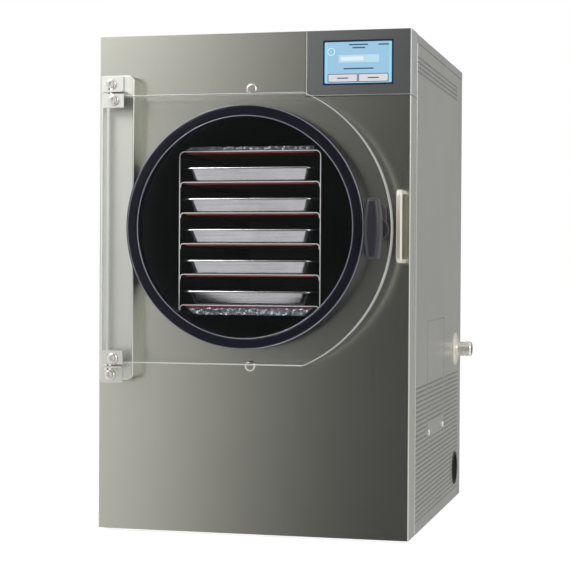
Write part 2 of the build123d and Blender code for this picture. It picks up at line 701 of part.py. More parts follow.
def rear_insert(z, width, height, depth, rim):
    """Body of a part that snaps into a cut-out of the rear panel, with its outside rim."""
    wide, high = width / 2 - INSERT_FIT, height / 2 - INSERT_FIT
    body = block(INLET_X - wide, INLET_X + wide, BACK - depth, BACK + PAST, z - high, z + high)
    wide, high = width / 2 + rim, height / 2 + rim
    return body + block(INLET_X - wide, INLET_X + wide, BACK, BACK + INSERT_RIM_T, z - high, z + high)


def power_inlet():
    body = rear_insert(INLET_Z, INLET_W, INLET_H, INLET_DEPTH, INLET_RIM)
    body -= Pos(INLET_X, BACK, INLET_Z) * Box(INLET_W - 2 * SOCKET_WALL, 24, INLET_H / 2)
    for dx, dz in ((-5, -3), (5, -3), (0, 4)):
        body += Pos(INLET_X + dx, BACK - 5, INLET_Z + dz) * Box(2, 14, 4)
    return body


def switch_housing():
    body = rear_insert(SWITCH_Z, SWITCH_W, SWITCH_H, SWITCH_DEPTH, SWITCH_RIM)
    body -= Pos(INLET_X, BACK, SWITCH_Z) * Box(SWITCH_W - 2 * SWITCH_WALL, 22, SWITCH_H - 2 * SWITCH_WALL)
    for s in (-1, 1):
        x0 = INLET_X + s * (SWITCH_W / 2 - SWITCH_WALL)
        body += rod(ROCKER_PIN_R, (x0, ROCKER_Y, SWITCH_Z), (x0 - s * ROCKER_PIN_L, ROCKER_Y, SWITCH_Z))
    return body


def switch_rocker():
    """Rocker that tips on the two stub pins of its housing."""
    half = SWITCH_H / 2 - 5.5
    y = ROCKER_Y
    face = [(y + 6.5, 0), (y + 8, half), (y + 3, half + 0.6), (y - 5, half - 4), (y - 5, -half + 4),
            (y - 1, -half), (y + 3, -half)]
    x0 = INLET_X - SWITCH_W / 2 + SWITCH_WALL + ROCKER_CLEAR
    plane = Plane(origin=(x0, 0, 0), x_dir=(0, 1, 0), z_dir=(1, 0, 0))
    outline = make_face(Polyline(*[(a, b + SWITCH_Z) for a, b in face], close=True))
    body = extrude(plane * outline, 2 * (INLET_X - x0))
    bore = rod(ROCKER_PIN_R + RUN_CLEAR, (INLET_X - SWITCH_W, y, SWITCH_Z), (INLET_X + SWITCH_W, y, SWITCH_Z))
    return body - bore


# ---------------------------------------------------------------- chamber
def mid_deck():
    t = DECK_T
    outer = block(-INNER, INNER, FRONT + SHEET, BACK - SHEET, DECK_Z - DECK_LIP, DECK_Z)
    inner = block(-INNER + t, INNER - t, FRONT + SHEET + t, BACK - SHEET - t,
                  DECK_Z - DECK_LIP - PAST, DECK_Z - t)
    deck = outer - inner
    deck -= block(INNER - 5, INNER + PAST, COVER_Y0 - COVER_LIP - t, COVER_Y1 + COVER_LIP + t,
                  DECK_Z - DECK_LIP - PAST, DECK_Z + PAST)
    for x, y, r in ((DRAIN_X, DRAIN_Y, DRAIN_R), (SUCTION_X, SUCTION_Y, LINE_R)):
        deck -= rod(r + 2, (x, y, DECK_Z - DECK_LIP), (x, y, DECK_Z + PAST))
    return deck


def chamber_cradles():
    saddles = []
    for y in (FRONT + CRADLE_SETBACK, DRUM_BACK_Y - CRADLE_SETBACK - CRADLE_T):
        saddle = block(CHAMBER_X - CRADLE_HALF, CHAMBER_X + CRADLE_HALF, y, y + CRADLE_T,
                       DECK_Z, CHAMBER_Z - CRADLE_DROP)
        saddle -= rod(FOAM_R + 0.2, (CHAMBER_X, y - PAST, CHAMBER_Z),
                      (CHAMBER_X, y + CRADLE_T + PAST, CHAMBER_Z))
        saddles.append(saddle)
    return group(*saddles)


def vacuum_drum():
    y0 = FRONT - RIM_OUT
    y1 = DRUM_BACK_Y
    fy = FRONT + SHEET
    points = [(DRUM_IN_R, y0), (DRUM_R, y0), (DRUM_R, fy), (RIM_FLANGE_R, fy),
              (RIM_FLANGE_R, fy + RIM_FLANGE_T), (DRUM_R, fy + RIM_FLANGE_T), (DRUM_R, y1), (0, y1),
              (0, y1 - DRUM_END), (DRUM_IN_R, y1 - DRUM_END)]
    drum = turned_y(points, CHAMBER_X, CHAMBER_Z)
    drum -= rod(TUBE_R - TUBE_WALL, (VAC_X, y1 - DRUM_END - PAST, VAC_Z), (VAC_X, y1 + PAST, VAC_Z))
    low = CHAMBER_Z - DRUM_R
    drum -= rod(DRAIN_R - DRAIN_WALL, (DRAIN_X, DRAIN_Y, low - PAST), (DRAIN_X, DRAIN_Y, low + 2 * DRUM_WALL))
    for x, z in flange_bolt_places():
        drum -= rod(SCREW_R + RUN_CLEAR, (x, fy - PAST, z), (x, fy + RIM_FLANGE_T + PAST, z))
    return drum


def door_gasket():
    """Rubber ring pushed onto the drum's rim: rounded face, outer skirt and a short inner lip."""
    y0 = FRONT - GASKET_OUT
    ro, ri, e = GASKET_R, GASKET_IN_R, GASKET_EDGE
    rim = FRONT - RIM_OUT
    lip = rim + GASKET_LIP
    mid = e * (1 - math.sqrt(0.5))
    outline = Polyline((ri + GASKET_FEATHER, lip), (ri, rim + 4), (ri, y0 + e))
    outline += ThreePointArc((ri, y0 + e), (ri + mid, y0 + mid), (ri + e, y0))
    outline += Line((ri + e, y0), (ro - e, y0))
    outline += ThreePointArc((ro - e, y0), (ro - mid, y0 + mid), (ro, y0 + e))
    outline += Polyline((ro, y0 + e), (ro, FRONT), (DRUM_R, FRONT), (DRUM_R, rim), (DRUM_IN_R, rim),
                        (DRUM_IN_R, lip), (ri + GASKET_FEATHER, lip))
    plane = Plane(origin=(CHAMBER_X, 0, CHAMBER_Z), x_dir=(1, 0, 0), z_dir=(0, 0, 1))
    return revolve(plane * make_face(outline), Axis((CHAMBER_X, 0, CHAMBER_Z), (0, 1, 0)))


def cooling_coil():
    """Evaporator: tube rings round the drum, joined by a feed and a return header."""
    r = DRUM_R + COIL_TUBE_R + COIL_CLEAR
    last = COIL_Y0 + COIL_STEP * (COIL_TURNS - 1)
    headers = []
    for angle in (35, 145):
        x = CHAMBER_X + r * math.cos(math.radians(angle))
        z = CHAMBER_Z + r * math.sin(math.radians(angle))
        headers.append(rod(COIL_TUBE_R * 0.8, (x, COIL_Y0, z), (x, last, z)))
    turns = []
    for i in range(COIL_TURNS):
        plane = Plane(origin=(CHAMBER_X, COIL_Y0 + i * COIL_STEP, CHAMBER_Z), z_dir=(0, 1, 0))
        turns.append(plane * Torus(r, COIL_TUBE_R))
    return headers[0].fuse(headers[1], *turns)


def drum_insulation():
    y0 = FRONT + FOAM_SETBACK
    y1 = DRUM_BACK_Y + FOAM_END
    points = [(FOAM_IN_R, y0), (FOAM_R, y0), (FOAM_R, y1), (0, y1), (0, DRUM_BACK_Y),
              (FOAM_IN_R, DRUM_BACK_Y)]
    foam = turned_y(points, CHAMBER_X, CHAMBER_Z)
    foam -= rod(TUBE_R + 1, (VAC_X, DRUM_BACK_Y - PAST, VAC_Z), (VAC_X, y1 + PAST, VAC_Z))
    for x, y, r in ((DRAIN_X, DRAIN_Y, DRAIN_R), (SUCTION_X, SUCTION_Y, LINE_R)):
        foam -= rod(r + 1, (x, y, CHAMBER_Z - FOAM_R - PAST), (x, y, CHAMBER_Z - DRUM_R))
    return foam


def drain_tube():
    """Melt-water drain from the drum's lowest line to the round hole in the right side."""
    points = [(DRAIN_X, DRAIN_Y, CHAMBER_Z - DRUM_R - 0.1), (DRAIN_X, DRAIN_Y, DRAIN_TURN_Z),
              (DRAIN_X + DRAIN_TURN_DX, CABLE_Y, CABLE_Z), (SIDE - DRAIN_END_INSET, CABLE_Y, CABLE_Z)]
    return pipe(points, [DRAIN_BEND, DRAIN_BEND], DRAIN_R, DRAIN_R - DRAIN_WALL)


# ---------------------------------------------------------------- rack and trays
def shelf_z(i):
    """Top face of shelf i, 1 at the top."""
    return RACK_TOP - (i - 1) * RACK_PITCH


def rack_frame():
    """Top shelf and both sides, folded from one sheet."""
    x0, x1, t = RACK_X0, RACK_X1, RACK_SHEET
    outer = block(x0, x1, RACK_Y0, RACK_Y1, RACK_BOTTOM, RACK_TOP)
    outer = fillet(outer.edges().filter_by(Axis.Y).group_by(Axis.Z)[-1], RACK_EDGE_R)
    inner = block(x0 + t, x1 - t, RACK_Y0 - PAST, RACK_Y1 + PAST, RACK_BOTTOM - PAST, RACK_TOP - t)
    inner = fillet(inner.edges().filter_by(Axis.Y).group_by(Axis.Z)[-1], RACK_EDGE_R - t)
    return outer - inner


def rack_shelf(i):
    """Shelf with its two long edges folded down against the rack's sides."""
    t = RACK_SHEET
    x0, x1 = RACK_X0 + t, RACK_X1 - t
    z = shelf_z(i)
    outer = block(x0, x1, RACK_Y0, RACK_Y1, z - SHELF_LIP, z)
    outer = fillet(outer.edges().filter_by(Axis.Y).group_by(Axis.Z)[-1], SHELF_EDGE_R)
    inner = block(x0 + t, x1 - t, RACK_Y0 - PAST, RACK_Y1 + PAST, z - SHELF_LIP - PAST, z - t)
    inner = fillet(inner.edges().filter_by(Axis.Y).group_by(Axis.Z)[-1], SHELF_EDGE_R - t)
    return outer - inner


def heater_mats():
    mats = []
    for i in range(1, RACK_BAYS + 2):
        z = shelf_z(i) - RACK_SHEET
        mats.append(block(CHAMBER_X - MAT_W / 2, CHAMBER_X + MAT_W / 2, RACK_Y0, RACK_Y1 - MAT_SETBACK,
                          z - MAT_T, z))
    return group(*mats)


def foil_blanket_top():
    blanket = block(CHAMBER_X - FOIL_W / 2, CHAMBER_X + FOIL_W / 2, RACK_Y0, RACK_Y1 - MAT_SETBACK,
                    RACK_TOP, RACK_TOP + FOIL_TOP_T)
    return fillet(blanket.edges().filter_by(Axis.Y).group_by(Axis.Z)[-1], FOIL_TOP_T * 3 / 7)


def foil_blanket_bottom():
    z1 = shelf_z(RACK_BAYS + 1) - RACK_SHEET - MAT_T
    z0 = z1 - FOIL_BOTTOM_T
    top = MAT_W / 2 - 1
    low = top - FOIL_SLOPE
    outline = Polyline((CHAMBER_X - top, z1), (CHAMBER_X + top, z1), (CHAMBER_X + low, z0),
                       (CHAMBER_X - low, z0), close=True)
    return prism_y(make_face(outline), RACK_Y0, RACK_Y1 - MAT_SETBACK)


def rack_glides():
    """Plastic strips under the rack's sides, shaped to the drum."""
    bore = rod(DRUM_IN_R - 0.3, (CHAMBER_X, RACK_Y0, CHAMBER_Z), (CHAMBER_X, RACK_Y1, CHAMBER_Z))
    strips = []
    for s in (-1, 1):
        xa = CHAMBER_X + s * RACK_W / 2
        xb = xa - s * GLIDE_W
        strip = block(min(xa, xb), max(xa, xb), RACK_Y0 + 22, RACK_Y1 - 10,
                      CHAMBER_Z - DRUM_IN_R, RACK_BOTTOM)
        strips.append(strip & bore)
    return group(*strips)


def tray(i):
    """Pressed tray with tapered sides and a rolled-over rim, standing on the shelf below bay i."""
    z0 = shelf_z(i + 1) + TRAY_LIFT
    yc = RACK_Y0 - TRAY_OUT + TRAY_LEN / 2
    slope = TRAY_H * math.tan(math.radians(TRAY_TAPER))
    w = TRAY_W - 2 * TRAY_RIM - 2 * slope
    d = TRAY_LEN - 2 * TRAY_RIM - 2 * slope
    t = TRAY_WALL
    shell = extrude(RectangleRounded(w, d, TRAY_CORNER_R - slope / 2), TRAY_H, taper=-TRAY_TAPER)
    hollow = extrude(Pos(0, 0, t) * RectangleRounded(w - 2 * t, d - 2 * t, TRAY_CORNER_R - slope / 2 - t),
                     TRAY_H, taper=-TRAY_TAPER)
    mouth = RectangleRounded(TRAY_W - 2 * TRAY_RIM - 2 * t, TRAY_LEN - 2 * TRAY_RIM - 2 * t, TRAY_CORNER_R)
    rim = extrude(RectangleRounded(TRAY_W, TRAY_LEN, TRAY_CORNER_R + TRAY_RIM) - mouth, TRAY_RIM_T)
    body = shell - hollow + Pos(0, 0, TRAY_H - TRAY_RIM_T) * rim
    return Pos(CHAMBER_X, yc, z0) * body


# ---------------------------------------------------------------- machinery
def compressor():
    """Sealed pump can with its welded foot plate, terminal box and three pipe stubs."""
    z0 = COMP_Z
    can = rod(COMP_R, (COMP_X, COMP_Y, z0), (COMP_X, COMP_Y, z0 + COMP_H))
    can = fillet(can.faces().sort_by(Axis.Z)[-1].edges(), 40.0)
    can = fillet(can.faces().sort_by(Axis.Z)[0].edges(), 20.0)
    can += rod(COMP_R + 3, (COMP_X, COMP_Y, z0 + 95), (COMP_X, COMP_Y, z0 + 103))
    can += block(COMP_X - COMP_PLATE_X, COMP_X + COMP_PLATE_X, COMP_Y - COMP_PLATE_Y, COMP_Y + COMP_PLATE_Y,
                 z0 - COMP_PLATE_T, z0)
    can += rod(50.0, (COMP_X, COMP_Y, z0 - 1), (COMP_X, COMP_Y, z0 + 30))
    for y, z in ((SUCTION_Y, LINE_Z), (COMP_Y, LINE_Z - LINE_DROP), (COMP_Y + DISCHARGE_DY, LINE_Z)):
        can += rod(LINE_R, (COMP_X + COMP_R / 2, y, z), (COMP_TIP_X, y, z))
    box = block(COMP_X - COMP_R - 22, COMP_X - COMP_R + 20, COMP_Y - 28, COMP_Y + 28, z0 + 35, z0 + 90)
    return can + box


def refrigerant_lines():
    """Discharge line to the condenser, and suction line up to the evaporator coil."""
    y = COMP_Y + DISCHARGE_DY
    top = cond_row_z(COND_ROWS - 1)
    rise_x = COMP_TIP_X + DISCHARGE_REACH
    discharge = [(COMP_TIP_X, y, LINE_Z), (rise_x, y, LINE_Z), (rise_x, y, top),
                 (COND_X, y, top), (COND_X, COND_Y1 + COND_BEND_OUT, top)]
    coil_r = DRUM_R + 2 * COIL_TUBE_R + COIL_CLEAR
    coil_z = CHAMBER_Z - math.sqrt(coil_r ** 2 - (SUCTION_X - CHAMBER_X - LINE_R) ** 2)
    suction = [(COMP_TIP_X, SUCTION_Y, LINE_Z), (SUCTION_X, SUCTION_Y, LINE_Z),
               (SUCTION_X, SUCTION_Y, coil_z - 0.5)]
    return group(pipe(discharge, [LINE_BEND, LINE_BEND, 11.0], LINE_R - 0.5),
                 pipe(suction, [LINE_BEND], LINE_R - 0.5))


def compressor_mount_places():
    for sx in (-1, 1):
        for sy in (-1, 1):
            yield COMP_X + sx * COMP_MOUNT_DX, COMP_Y + sy * COMP_MOUNT_DY


def compressor_mounts():
    top = COMP_Z - COMP_PLATE_T
    return group(*[rod(COMP_MOUNT_R, (x, y, PAN_TOP), (x, y, top)) for x, y in compressor_mount_places()])


def cond_row_z(row):
    return COND_Z0 + COND_ROW_INSET + row * COND_ROW


def condenser_coil():
    """Finned block: end plates, return bends and fins on the tube rows."""
    coil = block(COND_X0, COND_X1, COND_Y0, COND_Y0 + COND_PLATE, PAN_TOP, COND_Z1)
    coil += block(COND_X0, COND_X1, COND_Y1 - COND_PLATE, COND_Y1, PAN_TOP, COND_Z1)
    for row in range(COND_ROWS):
        z = cond_row_z(row)
        coil += rod(LINE_R, (COND_X, COND_Y0 - COND_BEND_OUT, z), (COND_X, COND_Y1 + COND_BEND_OUT, z))
    for f in range(1, COND_FINS):
        y = COND_Y0 + f * COND_LEN / COND_FINS
        coil += block(COND_X0 + 2, COND_X1 - 2, y - COND_FIN_T / 2, y + COND_FIN_T / 2, COND_Z0, COND_Z1 - 4)
    return coil


def fan_shroud():
    x0 = COND_X0 - SHROUD_T
    plate = block(x0, COND_X0, COND_Y0, COND_Y1, PAN_TOP, COND_Z1)
    t = SHROUD_WALL
    plate -= rod(FAN_R + FAN_TIP_CLEAR, (x0 - PAST, FAN_Y, FAN_Z), (COND_X0 + PAST, FAN_Y, FAN_Z))
    plate -= block(x0 + t, COND_X0 + PAST, COND_Y0 + t, COND_Y1 - t, PAN_TOP - PAST, COND_Z1 - t)
    for s in (-1, 1):
        z = FAN_Z + s * BRACE_DZ
        plate += block(MOTOR_X, x0, COND_Y0, COND_Y1, z - BRACE_T, z + BRACE_T)
    return plate


def fan_motor():
    can = ring(FAN_MOTOR_R, FAN_SHAFT_R + RUN_CLEAR, (MOTOR_X - FAN_MOTOR_L, FAN_Y, FAN_Z),
               (MOTOR_X, FAN_Y, FAN_Z))
    return fillet(can.faces().sort_by(Axis.X)[0].edges().sort_by(SortBy.LENGTH)[-1], 8.0)


def fan_blades():
    """Shaft, hub and five pitched blades."""
    xc = COND_X0 - FAN_SETBACK
    fan = rod(FAN_SHAFT_R, (MOTOR_X - FAN_SHAFT_IN, FAN_Y, FAN_Z), (xc, FAN_Y, FAN_Z))
    fan += rod(FAN_HUB_R, (xc - 10, FAN_Y, FAN_Z), (xc + 8, FAN_Y, FAN_Z))
    length = FAN_R - FAN_ROOT_R - FAN_TIP_INSET
    for b in range(FAN_BLADES):
        blade = Rot(0, 0, FAN_PITCH) * Box(FAN_BLADE_T, FAN_CHORD, length)
        turn = Rot(b * 360.0 / FAN_BLADES, 0, 0) * Pos(0, 0, FAN_ROOT_R + length / 2)
        fan += Pos(xc, FAN_Y, FAN_Z) * turn * blade
    return fan


def control_board():
    """Power board on four stand-offs inside the rear panel."""
    y = BACK - SHEET
    face = y - BOARD_OFF - BOARD_T
    z0 = CAB_H - BOARD_DROP
    inset = STANDOFF_INSET
    board = block(BOARD_X0, BOARD_X1, face, face + BOARD_T, z0, z0 + BOARD_H)
    for x in (BOARD_X0 + inset, BOARD_X1 - inset):
        for z in (z0 + inset, z0 + BOARD_H - inset):
            board += rod(STANDOFF_R, (x, y - BOARD_OFF, z), (x, y, z))
    transformer = block(BOARD_X0 + 20, BOARD_X0 + 80, face - 32, face, z0 + 20, z0 + 80)
    relays = block(BOARD_X1 - 100, BOARD_X1 - 30, face - 22, face, z0 + 30, z0 + 55)
    heat_sink = block(BOARD_X1 - 100, BOARD_X1 - 30, face - 16, face, z0 + 75, z0 + 105)
    return board + transformer + relays + heat_sink


# ---------------------------------------------------------------- door
def door_outline():
    """Straight on the hinge side, one round arc on the free side."""
    z0, z1 = DOOR_MID_Z - DOOR_HALF_H, DOOR_TOP
    xa = DOOR_ARC_X + math.sqrt(DOOR_ARC_R ** 2 - DOOR_HALF_H ** 2)
    lines = Line((xa, z0), (DOOR_LEFT, z0)) + Line((DOOR_LEFT, z0), (DOOR_LEFT, z1))
    lines += Line((DOOR_LEFT, z1), (xa, z1))
    return lines + ThreePointArc((xa, z1), (DOOR_RIGHT, DOOR_MID_Z), (xa, z0))


def hinge_signs():
    return 1, -1


def door_screw_place(s):
    return PIN_X + DOOR_SCREW_DX, DOOR_MID_Z + s * (DOOR_HALF_H - DOOR_SCREW_DZ)


def door_panel():
    door = prism_y(make_face(door_outline()), DOOR_FACE_Y, DOOR_BACK_Y)
    door = chamfer(door.faces().sort_by(Axis.Y)[0].edges(), 0.8)
    door -= rod(BUSH_R + 0.1, (HANDLE_X, DOOR_FACE_Y - PAST, DOOR_MID_Z),
                (HANDLE_X, DOOR_BACK_Y + PAST, DOOR_MID_Z))
    for s in hinge_signs():
        z = DOOR_MID_Z + s * DOOR_HALF_H
        door -= rod(PIN_R + RUN_CLEAR, (PIN_X, PIN_Y, z - s * (PIN_DEPTH + 1)), (PIN_X, PIN_Y, z + s))
        x, zs = door_screw_place(s)
        door -= rod(SCREW_R + RUN_CLEAR, (x, DOOR_FACE_Y - PAST, zs), (x, DOOR_FACE_Y + DOOR_SCREW_L + 1, zs))
    return door


def door_hinge_plates():
    """Bent plates on the door's corners: a leaf on its face and a tab over its edge."""
    plates = []
    for s in hinge_signs():
        z = DOOR_MID_Z + s * DOOR_HALF_H
        x0, x1 = DOOR_LEFT, DOOR_LEFT + HINGE_W
        za, zb = sorted((z - s * HINGE_LEAF_H, z + s * HINGE_T))
        leaf = block(x0, x1, DOOR_FACE_Y - HINGE_T, DOOR_FACE_Y, za, zb)
        za, zb = sorted((z, z + s * HINGE_T))
        plate = leaf + block(x0, x1, DOOR_FACE_Y - HINGE_T, DOOR_BACK_Y - 1, za, zb)
        plate -= rod(PIN_R + RUN_CLEAR, (PIN_X, PIN_Y, z - s * 3), (PIN_X, PIN_Y, z + s * 6))
        x, zs = door_screw_place(s)
        plates.append(plate - rod(SCREW_R + RUN_CLEAR, (x, DOOR_FACE_Y - 5, zs), (x, DOOR_FACE_Y + 5, zs)))
    return group(*plates)


def hinge_pins():
    """Pins with a collar between the door's tab and the post's tab, and a round head outside."""
    pins = []
    for s in hinge_signs():
        z = DOOR_MID_Z + s * DOOR_HALF_H
        tab = z + s * HINGE_T
        seat = tab + s * (HINGE_COLLAR + TAB_CLEAR)
        top = seat + s * (HINGE_T + TAB_CLEAR)
        pin = rod(PIN_R, (PIN_X, PIN_Y, z - s * PIN_DEPTH), (PIN_X, PIN_Y, top))
        pin += rod(HINGE_COLLAR_R, (PIN_X, PIN_Y, tab), (PIN_X, PIN_Y, tab + s * HINGE_COLLAR))
        pins.append(pin + rod(PIN_HEAD_R, (PIN_X, PIN_Y, top), (PIN_X, PIN_Y, top + s * PIN_HEAD_H)))
    return group(*pins)


def door_screws():
    screws = []
    for s in hinge_signs():
        x, z = door_screw_place(s)
        screws.append(round_screw(x, DOOR_FACE_Y - HINGE_T, z, (0, -1, 0), HINGE_T + DOOR_SCREW_L))
    return group(*screws)


def handle_bushing():
    z = DOOR_MID_Z
    hub = rod(HUB_R, (HANDLE_X, DOOR_FACE_Y - HUB_T, z), (HANDLE_X, DOOR_FACE_Y, z))
    hub = chamfer(hub.faces().sort_by(Axis.Y)[0].edges(), 1.5)
    hub += rod(BUSH_R, (HANDLE_X, DOOR_FACE_Y - 1, z), (HANDLE_X, DOOR_BACK_Y, z))
    return hub - rod(SHAFT_R + RUN_CLEAR, (HANDLE_X, DOOR_FACE_Y - 40, z), (HANDLE_X, DOOR_BACK_Y + 40, z))


def handle_knob():
    """Long barrel-shaped knob on a short neck."""
    y1 = KNOB_BACK_Y
    z = DOOR_MID_Z
    side, end, top = KNOB_W / 2, KNOB_END_W / 2, KNOB_H / 2
    outline = ThreePointArc((end, -top), (side, 0), (end, top)) + Line((end, top), (-end, top))
    outline += ThreePointArc((-end, top), (-side, 0), (-end, -top)) + Line((-end, -top), (end, -top))
    barrel = make_face(outline)
    barrel = fillet(barrel.vertices(), KNOB_CORNER_R)
    body = prism_y(Pos(HANDLE_X, z) * barrel, y1 - KNOB_T, y1)
    body = fillet(body.faces().sort_by(Axis.Y)[0].edges(), KNOB_FACE_R)
    body = fillet(body.faces().sort_by(Axis.Y)[-1].edges(), KNOB_BACK_R)
    body += rod(KNOB_NECK_R, (HANDLE_X, y1 - 8, z), (HANDLE_X, DOOR_FACE_Y - HUB_T - 0.4, z))
    return body - rod(SHAFT_R + 0.02, (HANDLE_X, y1 - 14, z), (HANDLE_X, DOOR_BACK_Y, z))


def latch_cam():
    """Shaft with a flat tongue behind the door; the tongue points up when the door is free."""
    z = DOOR_MID_Z
    y0 = DOOR_BACK_Y + CAM_CLEAR
    shaft = rod(SHAFT_R, (HANDLE_X, KNOB_BACK_Y - 13, z), (HANDLE_X, y0 + CAM_T, z))
    end = Pos(HANDLE_X, z + CAM_REACH - CAM_W / 2) * Circle(CAM_W / 2)
    heel = Pos(HANDLE_X, z) * Circle(CAM_W / 2 + 2)
    bar = Pos(HANDLE_X, z + (CAM_REACH - CAM_W / 2) / 2) * Rectangle(CAM_W, CAM_REACH - CAM_W / 2)
    return shaft + prism_y(end + heel + bar, y0, y0 + CAM_T)


# ---------------------------------------------------------------- front hardware
def hinge_post():
    """Folded box that carries the hinges, open at the back and scalloped round the gasket."""
    z0, z1 = POST_MID_Z - POST_HALF_H, POST_MID_Z + POST_HALF_H
    body = block(POST_LEFT, POST_RIGHT, FRONT - POST_DEPTH, FRONT, z0, z1)
    body = fillet(body.edges().filter_by(Axis.Y).group_by(Axis.X)[-1], POST_EDGE_R)
    body = fillet(body.faces().sort_by(Axis.Y)[0].edges(), FOLD_R)
    t = SHEET
    hollow = block(POST_LEFT + t, POST_RIGHT - t, FRONT - POST_DEPTH + t, FRONT + PAST, z0 + t, z1 - t)
    body -= fillet(hollow.edges().filter_by(Axis.Y).group_by(Axis.X)[-1], POST_EDGE_R - t)
    body -= rod(GASKET_R + POST_CLEAR, (CHAMBER_X, FRONT - POST_DEPTH - PAST, CHAMBER_Z),
                (CHAMBER_X, FRONT + PAST, CHAMBER_Z))
    for s in hinge_signs():
        x, z = post_screw_place(s)
        body -= rod(SCREW_R + 0.1, (x, FRONT - POST_DEPTH - PAST, z), (x, FRONT - POST_DEPTH + 2 * t, z))
    return body


def post_screw_place(s):
    rise = DOOR_HALF_H + HINGE_T + HINGE_COLLAR + POST_SCREW_RISE
    return PIN_X + POST_SCREW_DX, DOOR_MID_Z + s * rise


def post_brackets():
    """Bent plates on the post: a leaf on its face and a tab that holds the hinge pin."""
    plates = []
    for s in hinge_signs():
        base = DOOR_MID_Z + s * (DOOR_HALF_H + HINGE_T + HINGE_COLLAR + TAB_CLEAR)
        x0, x1 = PIN_X - HINGE_W / 2, PIN_X + HINGE_W / 2
        y1 = FRONT - POST_DEPTH
        za, zb = sorted((base, base + s * POST_LEAF_H))
        plate = block(x0, x1, y1 - HINGE_T, y1, za, zb)
        za, zb = sorted((base, base + s * HINGE_T))
        plate += block(PIN_X - TAB_LEFT, PIN_X + TAB_RIGHT, PIN_Y - HINGE_REACH, y1, za, zb)
        plate -= rod(PIN_R + RUN_CLEAR, (PIN_X, PIN_Y, base - 5), (PIN_X, PIN_Y, base + 5))
        x, z = post_screw_place(s)
        plates.append(plate - rod(SCREW_R + 0.1, (x, y1 - 5, z), (x, y1 + 5, z)))
    return group(*plates)


def panel_screws():
    """Round-head screws with washers: two in the hinge post and two in the drum's flange."""
    screws = []
    for s in hinge_signs():
        x, z = post_screw_place(s)
        screws.append(round_screw(x, FRONT - POST_DEPTH - HINGE_T, z, (0, -1, 0), HINGE_T + SHEET + 6))
    for x, z in flange_bolt_places():
        washer = rod(WASHER_R, (x, FRONT - WASHER_T, z), (x, FRONT, z))
        screw = round_screw(x, FRONT - WASHER_T, z, (0, -1, 0), WASHER_T + SHEET + RIM_FLANGE_T)
        screws.append(screw + washer)
    return group(*screws)


def catch_bracket():
    """Flat bar bent into a loop that stands on the front panel; the latch tongue turns in behind it."""
    z0, z1 = CATCH_MID_Z - CATCH_HALF_H, CATCH_MID_Z + CATCH_HALF_H
    x0, x1 = CATCH_LEFT, CATCH_LEFT + CATCH_W
    y0 = FRONT - CATCH_OUT
    loop = block(x0, x1, y0, FRONT, z0, z1)
    loop = fillet(loop.edges().filter_by(Axis.X).group_by(Axis.Y)[0], CATCH_BEND_R)
    side_rims = loop.faces().filter_by(Axis.X).edges().filter_by_position(Axis.Y, y0 - 1, FRONT - 1e-3)
    loop = fillet(side_rims, CATCH_EDGE_R)
    hole = block(x0 - 1, x1 + 1, y0 + CATCH_T, FRONT + 1, z0 + CATCH_T, z1 - CATCH_T)
    hole = fillet(hole.edges().filter_by(Axis.X).group_by(Axis.Y)[0], CATCH_BEND_R - CATCH_T)
    return loop - hole


# ---------------------------------------------------------------- write the sub-parts
PARTS = {
    "base_pan": base_pan,
    "rubber_feet": rubber_feet,
    "front_panel": front_panel,
    "control_bezel": control_bezel,
    "screen_glass": screen_glass,
    "screen_module": screen_module,
    "left_side_panel": left_side_panel,
    "right_side_panel": right_side_panel,
    "access_cover": access_cover,
    "cover_screws": cover_screws,
    "top_cover": top_cover,
    "rear_panel": rear_panel,
    "cable_grommet": cable_grommet,
    "port_flange": port_flange,
    "vacuum_port": vacuum_port,
    "vacuum_tube": vacuum_tube,
    "drain_tube": drain_tube,
    "power_inlet": power_inlet,
    "switch_housing": switch_housing,
    "switch_rocker": switch_rocker,
    "mid_deck": mid_deck,
    "chamber_cradles": chamber_cradles,
    "vacuum_drum": vacuum_drum,
    "door_gasket": door_gasket,
    "cooling_coil": cooling_coil,
    "drum_insulation": drum_insulation,
    "compressor": compressor,
    "compressor_mounts": compressor_mounts,
    "refrigerant_lines": refrigerant_lines,
    "condenser_coil": condenser_coil,
    "fan_shroud": fan_shroud,
    "fan_motor": fan_motor,
    "fan_blades": fan_blades,
    "control_board": control_board,
    "rack_frame": rack_frame,
    "heater_mats": heater_mats,
    "foil_blanket_top": foil_blanket_top,
    "foil_blanket_bottom": foil_blanket_bottom,
    "rack_glides": rack_glides,
    "door_panel": door_panel,
    "door_hinge_plates": door_hinge_plates,
    "hinge_pins": hinge_pins,
    "door_screws": door_screws,
    "handle_bushing": handle_bushing,
    "handle_knob": handle_knob,
    "latch_cam": latch_cam,
    "hinge_post": hinge_post,
    "post_brackets": post_brackets,
    "panel_screws": panel_screws,
    "catch_bracket": catch_bracket,
}

for i in range(2, RACK_BAYS + 2):
    PARTS[f"shelf_{i}"] = partial(rack_shelf, i)
for i in range(1, RACK_BAYS + 1):
    PARTS[f"tray_{i}"] = partial(tray, i)

SHAPES = {name: make() for name, make in PARTS.items()}

# the origin is the centre of the footprint, door and fittings included, on the surface below the feet
BOXES = [shape.bounding_box() for shape in SHAPES.values()]
SHIFT = Vector(-(min(b.min.X for b in BOXES) + max(b.max.X for b in BOXES)) / 2,
               -(min(b.min.Y for b in BOXES) + max(b.max.Y for b in BOXES)) / 2, 0)

os.makedirs("parts", exist_ok=True)
for name, shape in SHAPES.items():
    save(name, Pos(SHIFT) * shape)
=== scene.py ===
import bpy
import json
from math import cos, pi, radians, sin
from mathutils import Matrix, Vector


